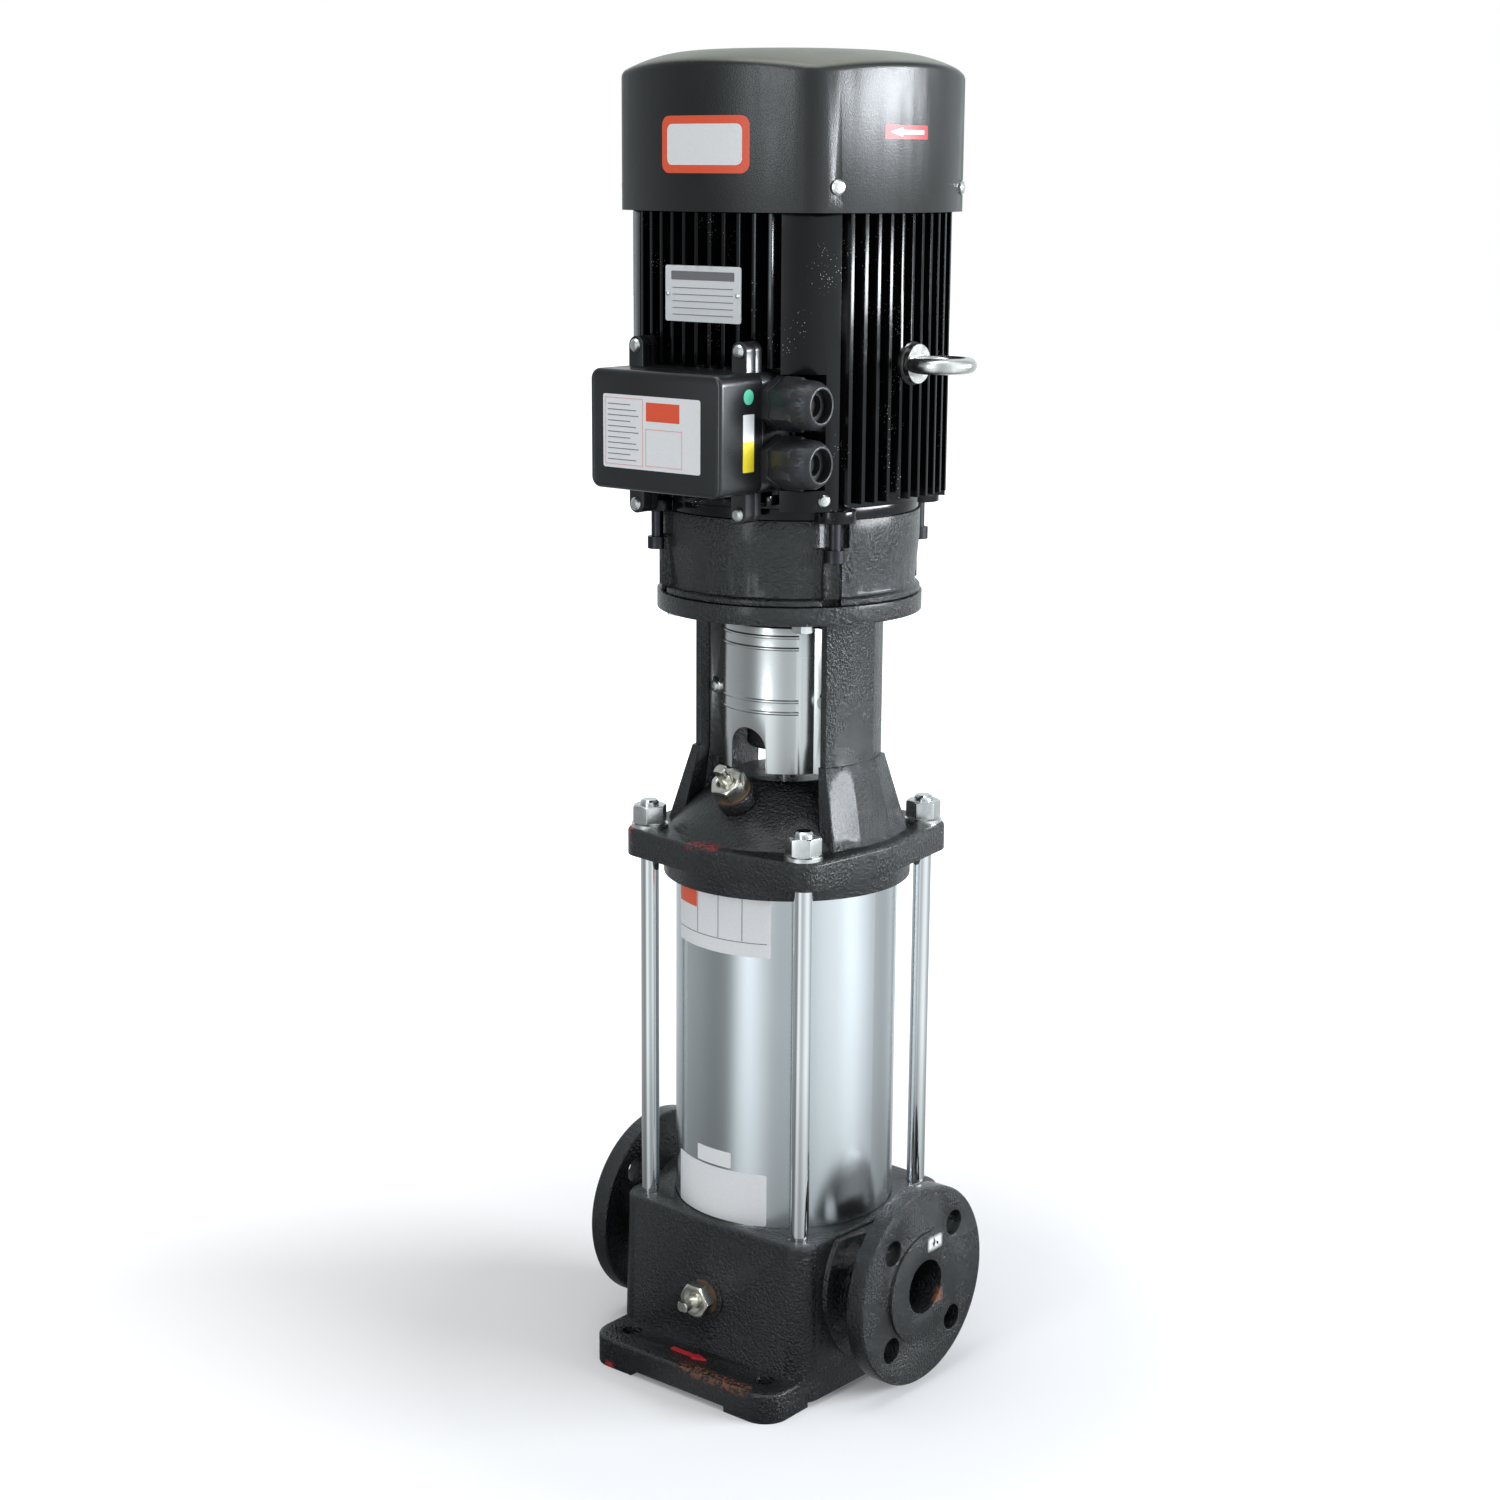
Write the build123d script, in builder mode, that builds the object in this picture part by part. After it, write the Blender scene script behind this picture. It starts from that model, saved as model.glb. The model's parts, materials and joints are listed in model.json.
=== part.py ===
"""Vertical multistage in-line pump with its flange-mounted motor, millimetres, +Z up.

The pump axis is Z, the foot stands on Z = 0, the outlet flange faces +X and the
inlet flange faces -X. The drain plug, vent plug and terminal box face -Y.
"""

import os
from math import asin, cos, degrees, radians, sin, sqrt

from build123d import *

os.makedirs("parts", exist_ok=True)

# Pipe connections
port_height = 75.0
port_face = 125.0
port_bore = 38.0
flange_diameter = 140.0
flange_thickness = 16.0
raised_face_diameter = 78.0
raised_face_height = 2.0
flange_bolt_circle = 100.0
flange_bolt_hole = 18.0
inlet_bolt_hole = 18.5
flange_bolts = 4
neck_radius = 36.0
neck_flare = 26.0
neck_flare_length = 22.0
bore_step = 2.0

# Foot and pump body casting
foot_length = 164.0
foot_width = 234.0
foot_thickness = 21.0
foot_corner = 18.0
foot_edge = 2.5
foot_relief = 4.0
foot_pad_length = 40.0
foot_pad_width = 42.0
foot_bolt_pitch_x = 120.0
foot_bolt_pitch_y = 190.0
foot_bolt_hole = 14.0
body_height = 116.0
body_waist = 85.0
body_draft = 1.5
well_radius = 32.0
well_wall = 13.0
gallery_depth = 18.0
drain_height = 62.0
drain_boss_radius = 16.0
drain_boss_height = 3.0

# Tie rods
rod_spacing = 134.4
rod_diameter = 12.6
rod_engagement = 30.0
rod_lug_radius = 15.0
rod_end = 3.5
nut_across_flats = 21.0
nut_height = 13.0
washer_diameter = 25.4
washer_thickness = 2.4
thread_fit = 0.05
hole_play = 0.5
hole_end = 0.5

# Outer sleeve and its seals
sleeve_diameter = 153.5
sleeve_wall = 2.0
sleeve_fit = 0.15
sleeve_recess = 10.0
sleeve_recess_play = 0.45
spigot_wall = 5.0
seal_section = 2.0
seal_groove_width = 2.6

# Hydraulic stages
stage_count = 6
stage_pitch = 33.0
chamber_radius = 62.0
chamber_wall = 1.5
eye_radius = 21.0
running_gap = 0.3
impeller_radius = 50.0
impeller_vanes = 6
impeller_vane = 1.6
shroud = 1.5
impeller_width = 6.5
impeller_lift = 4.0
hub_radius = 13.0
diffuser_vanes = 6
diffuser_gap = 1.5
suction_guide_height = 22.0
discharge_guide_height = 25.0
head_clearance = 6.0

# Shafts and coupling
pump_shaft_diameter = 16.0
shaft_fit = 0.04
shaft_tail = 4.0
motor_shaft_diameter = 28.0
bearing_seat_diameter = 30.0
rotor_seat_diameter = 36.0
fan_seat_diameter = 24.0
coupling_radius = 28.0
coupling_length = 90.0
coupling_split = 1.0
shaft_end_gap = 2.0
coupling_screw_diameter = 8.0
coupling_screw_offset = 19.0
coupling_screw_head = 12.5

# Pump head with its lantern
head_ring_radius = 85.3
head_ring_height = 13.0
head_plate_thickness = 19.0
head_plate_waist = 90.0
head_plate_edge = 3.0
head_bore_radius = 50.0
dome_foot_radius = 80.0
dome_top_radius = 36.0
dome_height = 38.0
dome_wall = 9.0
dome_outer_middle = (54.0, 25.5)
dome_inner_middle = (36.0, 20.0)
flare_height = 53.0
lantern_height = 153.0
lantern_flange_radius = 89.5
lantern_flange_thickness = 12.0
lantern_bore_radius = 54.0
seal_bore_radius = 16.0
seal_seat_height = 8.0
seal_head_radius = 15.0
seal_head_height = 24.0

# Coupling guards
guard_radius = 45.0
guard_sheet = 1.0
guard_height = 99.0
guard_lift = 45.0
guard_ledge = 20.8
guard_strip_end = 51.5
guard_arch_width = 29.0
guard_arch_height = 30.0
guard_bead = 1.3
guard_bead_reach = 47.0
guard_field_rise = 0.15
guard_bead_levels = (0.42, 0.5, 0.86, 0.94)
guard_screw_x = 46.5
guard_screw_height = 49.0
guard_screw_depth = 8.5
guard_key_rise = 4.2

# Vent and drain plugs
plug_across_flats = 22.0
plug_hex_height = 10.0
plug_thread_diameter = 16.0
plug_thread_length = 8.0
plug_dish = 1.2
plug_stem_diameter = 9.0
plug_stem_reach = 12.0
plug_stem_flats = 6.4
plug_stem_flat_length = 6.0
gasket_thickness = 1.6
gasket_radius = 12.4
vent_radius = 58.6
vent_rise = 33.0
vent_tilt = 52.0
vent_boss_radius = 13.5

# Motor adapter
adapter_height = 56.0
adapter_lip_radius = 88.0
adapter_lip_height = 5.0
adapter_foot_radius = 84.6
adapter_top_radius = 87.2
adapter_wall = 9.0
ear_circle_radius = 92.5
ear_turn = 11.5
ear_radius = 13.5
ear_height = 18.0
lantern_bolt_circle = 152.0
lantern_bolt_diameter = 8.0
lantern_bolt_head = 13.0
bolt_head_height = 6.0
bolt_grip = 14.0
motor_bolt_diameter = 8.0
motor_bolt_head = 13.0
motor_bolt_head_height = 8.0

# Motor
shield_thickness = 8.0
shield_radius = 86.0
bearing_outer_diameter = 62.0
bearing_width = 16.0
bearing_ring = 5.0
bearing_shield = 0.8
bearing_housing_wall = 7.0
frame_length = 194.0
frame_bore = 160.0
barrel_radius = 87.0
fin_count = 11
fin_pitch = 10.6
fin_thickness = 2.6
fin_reach = 98.0
fin_crown_radius = 170.0
fin_start = 4.0
corner_reach = 105.0
corner_half_angle = 10.5
stator_bore = 96.0
stator_length = 120.0
stator_start = 43.0
winding_length = 15.0
winding_outer = 148.0
winding_inner = 102.0
air_gap = 0.5
fan_shield_thickness = 10.0
fan_radius = 88.0
fan_blades = 8
fan_blade = 3.0
fan_blade_height = 32.0
fan_hub_radius = 20.0
fan_lift = 14.0

# Fan cover
cover_overlap = 8.5
cover_height = 101.5
cover_half_width = 101.5
cover_side_radius = 160.0
cover_corner = 25.0
cover_wall = 2.0
cover_crown_radius = 60.0
cover_crown_drop = 1.2
cover_shoulder_radius = 92.0
cover_shoulder_drop = 6.0
cover_brim_radius = 128.0
cover_brim_drop = 26.0
cover_edge = 6.0
cover_screw_y = 66.0
cover_screw_length = 7.0
cover_arm_length = 30.0
cover_screw_height = 15.5
cover_screw_head = 9.5
grille_slot = 3.2
grille_first = 22.0
grille_pitch = 8.0
grille_rings = 5
grille_spokes = 4
grille_spoke = 5.0

# Terminal box
box_width = 109.0
box_height = 76.0
box_rise = 50.0
box_front = 138.5
box_seam = 98.0
box_back = 70.0
box_wall = 3.5
box_corner = 7.0
saddle_gap = 0.2
lid_ear_inset = 11.5
lid_ear_rise = 13.0
lid_ear_radius = 6.0
lid_ear_depth = 9.0
base_ear_depth = 6.0
lid_screw_head = 8.5
gland_pitch = 36.8
gland_depth = 84.0
gland_thread = 25.0
gland_across_flats = 30.0
gland_collar = 6.0
gland_thread_length = 4.5
gland_nut_length = 30.0
gland_opening = 10.5
gland_mouth = 6.0
gland_step = 0.8

# Small hardware
eyebolt_rise = 91.0
eyebolt_seat = 99.0
eyebolt_collar_radius = 12.5
eyebolt_ring_radius = 17.5
eyebolt_bar_radius = 5.0
eyebolt_thread = 10.0
plate_width = 62.0
plate_tall = 35.0
plate_center_x = 4.0
plate_rise = 134.5
plate_thickness = 0.8
plate_seat = 95.5
screw_diameter = 5.0
screw_head_height = 2.6
earth_screw_height = 7.0
earth_screw_head = 8.0
earth_screw_length = 6.0

# Levels worked out from the sizes above
suction_seat = body_height - sleeve_recess - foot_edge * 2 - 1
sleeve_seat = body_height - sleeve_recess
gallery_floor = body_height - gallery_depth
bore_floor = port_height - port_bore / 2 - bore_step
stack_start = suction_seat + suction_guide_height
stack_end = stack_start + stage_count * stage_pitch
stack_top = stack_end + discharge_guide_height
head_bottom = stack_top
head_ring_bottom = stack_top + head_clearance
sleeve_top = head_ring_bottom + sleeve_recess
plate_bottom = head_ring_bottom + head_ring_height
plate_top = plate_bottom + head_plate_thickness
flare_top = plate_top + flare_height
lantern_bottom = plate_top + lantern_height
lantern_top = lantern_bottom + lantern_flange_thickness
adapter_top = lantern_top + adapter_height
frame_bottom = adapter_top + shield_thickness
frame_top = frame_bottom + frame_length
drive_bearing_bottom = frame_bottom
fan_bearing_bottom = frame_top - 8
fan_shield_top = frame_top + fan_shield_thickness
motor_axis_end = fan_shield_top + fan_lift + fan_blade_height
cover_bottom = frame_top - cover_overlap
cover_top = cover_bottom + cover_height
guard_bottom = plate_top + guard_lift
guard_screw_z = guard_bottom + guard_screw_height
coupling_bottom = guard_bottom + 12
coupling_top = coupling_bottom + coupling_length
shaft_joint = coupling_bottom + coupling_length / 2
stator_bottom = frame_bottom + stator_start
box_center = frame_bottom + box_rise
lid_ear_x = box_width / 2 - lid_ear_inset
lid_ear_z = box_height / 2 + lid_ear_rise
eyebolt_height = frame_bottom + eyebolt_rise
plate_center_z = frame_bottom + plate_rise
stator_top = stator_bottom + stator_length
seal_seat_bottom = plate_top + dome_height - dome_wall - seal_seat_height / 2

rod_radius = rod_diameter / 2
sleeve_inner = sleeve_diameter / 2 - sleeve_wall
spigot_radius = sleeve_inner - sleeve_fit
recess_radius = sleeve_diameter / 2 + sleeve_recess_play
gallery_radius = spigot_radius - spigot_wall
shaft_radius = pump_shaft_diameter / 2
shaft_bore = shaft_radius + shaft_fit
motor_shaft_radius = motor_shaft_diameter / 2
bearing_outer = bearing_outer_diameter / 2
bearing_inner = bearing_seat_diameter / 2
cover_inner_half = cover_half_width - cover_wall


def polar(radius, angle):
    """Point at an angle in degrees, counted from +X towards +Y."""
    return (radius * cos(radians(angle)), radius * sin(radians(angle)))


def turned(points, axis=Axis.Z, plane=Plane.XZ, arc=360, mode=Mode.ADD):
    """Revolve a closed profile of straight runs and put it in the part being built."""
    with BuildSketch(plane) as profile:
        with BuildLine():
            Polyline(*points, close=True)
        make_face()
    revolve(profile.sketch, axis=axis, revolution_arc=arc, mode=mode)


def tube(inner, outer, low, high, mode=Mode.ADD):
    """Ring about the pump axis between two levels."""
    turned([(inner, low), (outer, low), (outer, high), (inner, high)], mode=mode)


def rounded_hexagon(across_flats, height, bore=0.0, double=False):
    """Hexagon on XY with turned corners on its top, and below too when double."""
    corner = across_flats / sqrt(3)
    bevel = (corner - across_flats / 2 * 0.97) * 0.6
    rim = across_flats / 2 * 0.97
    with BuildPart() as body:
        with BuildSketch():
            RegularPolygon(across_flats / 2, 6, major_radius=False)
        extrude(amount=height)
        foot = [(0, 0), (rim, 0), (corner, bevel)] if double else [(0, 0), (corner, 0)]
        turned(foot + [(corner, height - bevel), (rim, height), (0, height)], mode=Mode.INTERSECT)
        if bore:
            Hole(bore)
    return body.part


def pan_screw(head_diameter, head_height, thread, length):
    """Domed screw head above XY with its thread below."""
    rim = head_diameter / 2
    with BuildPart() as screw:
        turned([
            (0, -length), (thread / 2, -length), (thread / 2, 0), (rim, 0), (rim, head_height * 0.4),
            (rim * 0.75, head_height * 0.85), (rim * 0.35, head_height), (0, head_height),
        ])
    return screw.part


def cap_screw(head_diameter, head_height, thread, length):
    """Cylindrical head above XY with a hexagon socket, thread below."""
    with BuildPart() as screw:
        Cylinder(head_diameter / 2, head_height, align=(Align.CENTER, Align.CENTER, Align.MIN))
        with BuildSketch(Plane.XY.offset(head_height)):
            RegularPolygon(head_diameter * 0.24, 6, major_radius=False)
        extrude(amount=-head_height * 0.55, mode=Mode.SUBTRACT)
        Cylinder(thread / 2, length, align=(Align.CENTER, Align.CENTER, Align.MAX))
    return screw.part


def save(piece, name):
    """Label a finished piece and write it under its own name."""
    piece.part.label = name
    export_step(piece.part, f"parts/{name}.step")


rod_places = [(x * rod_spacing / 2, y * rod_spacing / 2) for x in (-1, 1) for y in (-1, 1)]
vent_plane = Plane(
    origin=(0, -vent_radius, plate_top + vent_rise),
    x_dir=(1, 0, 0),
    z_dir=(0, -cos(radians(vent_tilt)), sin(radians(vent_tilt))),
)

# Base casting: foot, body, port necks and flanges in one piece
with BuildPart() as port_neck:
    flare_end = port_face - flange_thickness
    flare = []
    for turn in range(18, 91, 18):
        along = flare_end - neck_flare_length * sin(radians(turn))
        flare.append((along, port_height + neck_radius + neck_flare * (1 - cos(radians(turn)))))
    turned([
        (0, port_height), (port_face - raised_face_height, port_height),
        (port_face - raised_face_height, port_height + neck_radius), (flare_end, port_height + neck_radius),
        *flare, (foot_length / 4, port_height + neck_radius + neck_flare), (0, port_height + neck_radius),
    ], axis=Axis((0, 0, port_height), (1, 0, 0)))
    split(bisect_by=Plane.XY.offset(body_height - foot_edge), keep=Keep.BOTTOM)
    split(bisect_by=Plane.XY.offset(foot_relief), keep=Keep.TOP)



def port_flange(bolt_hole):
    """Outlet flange with its raised face and bolt holes."""
    with BuildPart() as body:
        with BuildSketch(Plane.YZ.offset(port_face - raised_face_height)):
            with Locations((0, port_height)):
                Circle(flange_diameter / 2)
        extrude(amount=raised_face_height - flange_thickness)
        chamfer(body.edges().filter_by(GeomType.CIRCLE), 1.2)
        with BuildSketch(Plane.YZ.offset(port_face - raised_face_height)):
            with Locations((0, port_height)):
                Circle(raised_face_diameter / 2)
        extrude(amount=raised_face_height)
        with BuildSketch(Plane.YZ.offset(port_face)):
            with Locations((0, port_height)):
                with PolarLocations(flange_bolt_circle / 2, flange_bolts, start_angle=45):
                    Circle(bolt_hole / 2)
        extrude(amount=-flange_thickness, mode=Mode.SUBTRACT)
    return body.part


with BuildPart() as base_casting:
    with BuildSketch():
        RectangleRounded(foot_length, foot_width, foot_corner)
    extrude(amount=foot_thickness)
    fillet(base_casting.faces().sort_by(Axis.Z)[-1].edges(), foot_edge)
    with BuildSketch(Plane.XY.offset(body_height)):
        Circle(body_waist)
        with Locations(*rod_places):
            Circle(rod_lug_radius)
        make_hull()
    extrude(amount=-(body_height - foot_relief), taper=-body_draft)
    fillet(base_casting.faces().sort_by(Axis.Z)[-1].edges(), foot_edge)
    add(port_neck.part)
    add(port_neck.part.mirror(Plane.YZ))
    add(port_flange(flange_bolt_hole))
    add(port_flange(inlet_bolt_hole).mirror(Plane.YZ))
    with BuildSketch(Plane.XZ.offset(body_waist + drain_boss_height)):
        with Locations((0, drain_height)):
            Circle(drain_boss_radius)
    extrude(amount=-(drain_boss_height + body_waist / 4))
    # Relief under the foot leaves a pad at each corner
    with BuildSketch():
        Rectangle(foot_length - 2 * foot_pad_length, foot_width + 2)
        Rectangle(foot_length + 2, foot_width - 2 * foot_pad_width)
    extrude(amount=foot_relief, mode=Mode.SUBTRACT)
    with BuildSketch():
        with GridLocations(foot_bolt_pitch_x, foot_bolt_pitch_y, 2, 2):
            Circle(foot_bolt_hole / 2)
    extrude(amount=foot_thickness, mode=Mode.SUBTRACT)
    # Sleeve recess round the machined spigot, with the seal groove
    tube(spigot_radius, recess_radius, sleeve_seat, body_height, mode=Mode.SUBTRACT)
    tube(spigot_radius - seal_section - 0.1, spigot_radius, body_height - 2 * seal_groove_width,
         body_height - seal_groove_width, mode=Mode.SUBTRACT)
    # Discharge gallery outside the suction well
    tube(well_radius + well_wall, gallery_radius, gallery_floor, body_height, mode=Mode.SUBTRACT)
    tube(0, well_radius + well_wall, suction_seat, body_height, mode=Mode.SUBTRACT)
    tube(0, well_radius, bore_floor, suction_seat, mode=Mode.SUBTRACT)
    with BuildSketch(Plane.YZ.offset(-port_face)):
        with Locations((0, port_height)):
            Circle(port_bore / 2)
    extrude(amount=port_face - well_radius / 2, mode=Mode.SUBTRACT)
    with BuildSketch(Plane.YZ.offset(port_face)):
        with Locations((0, port_height)):
            Circle(port_bore / 2)
    extrude(amount=-(port_face - well_radius - well_wall), mode=Mode.SUBTRACT)
    with BuildSketch(Plane.XY.offset(bore_floor)):
        with Locations(((gallery_radius + well_radius + well_wall) / 2, 0)):
            Rectangle(gallery_radius - well_radius - well_wall, port_bore + 2 * bore_step)
    extrude(amount=gallery_floor - bore_floor, mode=Mode.SUBTRACT)
    with BuildSketch(Plane.XY.offset(body_height)):
        with Locations(*rod_places):
            Circle(rod_radius + thread_fit)
    extrude(amount=-rod_engagement, mode=Mode.SUBTRACT)
    with BuildSketch(Plane.XZ.offset(body_waist + drain_boss_height)):
        with Locations((0, drain_height)):
            Circle(plug_thread_diameter / 2 + thread_fit)
    extrude(amount=-plug_thread_length - gasket_thickness - 12, mode=Mode.SUBTRACT)
save(base_casting, "base_casting")

# Outer sleeve between the base and the head, with a seal at each end
with BuildPart() as outer_sleeve:
    tube(sleeve_inner, sleeve_diameter / 2, sleeve_seat, sleeve_top)
save(outer_sleeve, "outer_sleeve")

seal_ring_center = spigot_radius - seal_section / 2 - 0.05
with BuildPart() as sleeve_o_rings:
    for level in (body_height - 1.5 * seal_groove_width, head_ring_bottom + 1.5 * seal_groove_width):
        with BuildSketch(Plane.XZ) as seal_profile:
            with Locations((seal_ring_center, level)):
                RegularPolygon(seal_section / 2, 8)
        revolve(seal_profile.sketch, axis=Axis.Z)
save(sleeve_o_rings, "sleeve_o_rings")

# Tie rods with their washers and nuts
rod_seat = plate_top + washer_thickness
with BuildPart() as tie_rods:
    with BuildSketch(Plane.XY.offset(body_height - rod_engagement)):
        with Locations(*rod_places):
            Circle(rod_radius)
    extrude(amount=rod_seat + nut_height + rod_end - body_height + rod_engagement)
    chamfer(tie_rods.faces().group_by(Axis.Z)[-1].edges(), 1.2)
save(tie_rods, "tie_rods")

with BuildPart() as tie_rod_washers:
    with BuildSketch(Plane.XY.offset(plate_top)):
        with Locations(*rod_places):
            Circle(washer_diameter / 2)
            Circle(rod_radius + hole_play, mode=Mode.SUBTRACT)
    extrude(amount=washer_thickness)
save(tie_rod_washers, "tie_rod_washers")

rod_nut = rounded_hexagon(nut_across_flats, nut_height, rod_radius + thread_fit, double=True)
with BuildPart() as tie_rod_nuts:
    for number, (x, y) in enumerate(rod_places):
        with Locations(Location((x, y, rod_seat), (0, 0, 14 * number))):
            add(rod_nut)
save(tie_rod_nuts, "tie_rod_nuts")


# Pump head: ring, plate, dome, lantern pillars and top flange cast together
def pillar_outline(spread, ledge, lip, reach):
    """Section of one lantern pillar: crest, shoulder and the ledge that carries the guards."""
    crest_x, crest_y, shoulder_x, shoulder_y = spread
    half = [
        (crest_x, crest_y), (shoulder_x, shoulder_y), (shoulder_x - lip, shoulder_y),
        (shoulder_x - lip, ledge), (reach, ledge),
    ]
    return half + [(x, -y) for x, y in reversed(half)]


pillar_section = pillar_outline((63.5, 12.0, 56.5, 31.0), guard_ledge, 4.5, 44.0)
flare_head = pillar_outline((65.0, 13.0, 58.0, 33.0), guard_ledge, 6.0, 44.0)
flare_foot = pillar_outline((78.0, 17.0, 72.5, 41.5), guard_ledge, 12.0, 46.0)

with BuildPart() as pillar:
    with BuildSketch(Plane.XY.offset(plate_top - 1)):
        Polygon(*flare_foot, align=None)
    with BuildSketch(Plane.XY.offset(flare_top)):
        Polygon(*flare_head, align=None)
    loft(ruled=True)
    with BuildSketch(Plane.XY.offset(flare_top)) as upper:
        Polygon(*pillar_section, align=None)
    extrude(upper.sketch, amount=lantern_bottom - flare_top + 1)

with BuildPart() as pump_head:
    tube(head_bore_radius, head_ring_radius, head_ring_bottom, plate_bottom)
    tube(head_bore_radius, spigot_radius, head_bottom, plate_bottom)
    with BuildSketch(Plane.XY.offset(plate_bottom)):
        Circle(head_plate_waist)
        with Locations(*rod_places):
            Circle(rod_lug_radius)
        make_hull()
        Circle(head_bore_radius, mode=Mode.SUBTRACT)
    extrude(amount=head_plate_thickness)
    plate_rims = pump_head.edges().filter_by(
        lambda edge: edge.center().Z > plate_bottom - 1
        and abs(edge.bounding_box().size.Z) < 0.01
        and max(abs(edge.center().X), abs(edge.center().Y)) > head_bore_radius + 5
        and edge.center().Z > plate_top - 1
    )
    fillet(plate_rims, head_plate_edge)
    with BuildSketch(Plane.XZ) as dome:
        with BuildLine():
            outer_arc = ThreePointArc(
                (dome_foot_radius, plate_top),
                (dome_outer_middle[0], plate_top + dome_outer_middle[1]),
                (dome_top_radius, plate_top + dome_height),
            )
            inner_arc = ThreePointArc(
                (seal_bore_radius, plate_top + dome_height - dome_wall),
                (dome_inner_middle[0], plate_top + dome_inner_middle[1]),
                (head_bore_radius, plate_top),
            )
            Line(outer_arc @ 1, (seal_bore_radius, plate_top + dome_height))
            Line((seal_bore_radius, plate_top + dome_height), inner_arc @ 0)
            Line(inner_arc @ 1, outer_arc @ 0)
        make_face()
    revolve(dome.sketch, axis=Axis.Z)
    # Neck that holds the fixed seal ring and lets the shaft through
    tube(shaft_radius + 1.5, seal_bore_radius, seal_seat_bottom + seal_seat_height, plate_top + dome_height)
    add(pillar.part)
    add(pillar.part.mirror(Plane.YZ))
    tube(lantern_bore_radius, lantern_flange_radius, lantern_bottom, lantern_top)
    # Boss of the vent plug on the slope of the dome
    with BuildSketch(vent_plane):
        Circle(vent_boss_radius)
    extrude(amount=-dome_wall)
    with BuildSketch(vent_plane):
        Circle(plug_thread_diameter / 2 + thread_fit)
    extrude(amount=-2.2 * dome_wall, mode=Mode.SUBTRACT)
    tube(spigot_radius, recess_radius, head_ring_bottom, sleeve_top, mode=Mode.SUBTRACT)
    tube(spigot_radius - seal_section - 0.1, spigot_radius, head_ring_bottom + seal_groove_width,
         head_ring_bottom + 2 * seal_groove_width, mode=Mode.SUBTRACT)
    with BuildSketch(Plane.XY.offset(plate_top)):
        with Locations(*rod_places):
            Circle(rod_radius + hole_play)
    extrude(amount=-head_plate_thickness, mode=Mode.SUBTRACT)
    with BuildSketch(Plane.XY.offset(lantern_top)):
        with PolarLocations(lantern_bolt_circle / 2, 4, start_angle=45):
            Circle(lantern_bolt_diameter / 2 + hole_play)
    extrude(amount=-lantern_flange_thickness, mode=Mode.SUBTRACT)
    for side in (-1, 1):
        ledge = Plane(origin=(0, side * guard_ledge, guard_screw_z), x_dir=(1, 0, 0), z_dir=(0, side, 0))
        with BuildSketch(ledge):
            with Locations((guard_screw_x, 0), (-guard_screw_x, 0)):
                Circle(screw_diameter / 2 + thread_fit)
        extrude(amount=-guard_screw_depth, mode=Mode.SUBTRACT)
save(pump_head, "pump_head")


# Plugs: hexagon body with a bore for the small vent screw
def screw_plug():
    """Plug with its hexagon above XY and its thread below the gasket."""
    stem_bore = plug_stem_diameter / 2 + 0.05
    plug = rounded_hexagon(plug_across_flats, plug_hex_height)
    with BuildPart() as body:
        add(plug)
        Cylinder(
            plug_thread_diameter / 2, plug_thread_length + gasket_thickness,
            align=(Align.CENTER, Align.CENTER, Align.MAX),
        )
        turned([
            (0, plug_hex_height - plug_dish), (stem_bore, plug_hex_height - plug_dish),
            (plug_thread_diameter / 2, plug_hex_height), (0, plug_hex_height),
        ], mode=Mode.SUBTRACT)
        with BuildSketch(Plane.XY.offset(plug_hex_height)):
            Circle(stem_bore)
        extrude(amount=-plug_hex_height, mode=Mode.SUBTRACT)
    return body.part


def plug_stem():
    """Small screw that turns in the plug by the two flats on its end."""
    with BuildPart() as body:
        with BuildSketch():
            Circle(plug_stem_diameter / 2)
        extrude(amount=plug_hex_height + plug_stem_reach)
        chamfer(body.edges().sort_by(Axis.Z)[-1], 0.8)
        with BuildSketch(Plane.XY.offset(plug_hex_height + plug_stem_reach)):
            Circle(plug_stem_diameter)
            Rectangle(2 * plug_stem_diameter, plug_stem_flats, mode=Mode.SUBTRACT)
        extrude(amount=-plug_stem_flat_length, mode=Mode.SUBTRACT)
    return body.part


def plug_gasket():
    """Flat sealing ring under the hexagon."""
    with BuildPart() as body:
        with BuildSketch():
            Circle(gasket_radius)
            Circle(plug_thread_diameter / 2 + hole_play, mode=Mode.SUBTRACT)
        extrude(amount=gasket_thickness)
    return body.part


drain_plane = Plane(
    origin=(0, -(body_waist + drain_boss_height), drain_height), x_dir=(1, 0, 0), z_dir=(0, -1, 0),
)
plug_frames = {"vent": vent_plane, "drain": drain_plane}
plug_seats = {name: frame.offset(gasket_thickness) for name, frame in plug_frames.items()}

with BuildPart() as plug_bodies:
    for frame in plug_seats.values():
        add(frame.location * screw_plug())
save(plug_bodies, "plug_bodies")

with BuildPart() as plug_gaskets:
    for frame in plug_frames.values():
        add(frame.location * plug_gasket())
save(plug_gaskets, "plug_gaskets")

for name, frame in plug_seats.items():
    with BuildPart() as stem:
        add(frame.location * plug_stem())
    save(stem, f"{name}_stem")

# Fixed ring of the shaft seal in the neck of the head
with BuildPart() as seal_seat:
    tube(shaft_radius + 1.5, seal_bore_radius - thread_fit, seal_seat_bottom,
         seal_seat_bottom + seal_seat_height)
save(seal_seat, "seal_seat")


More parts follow.
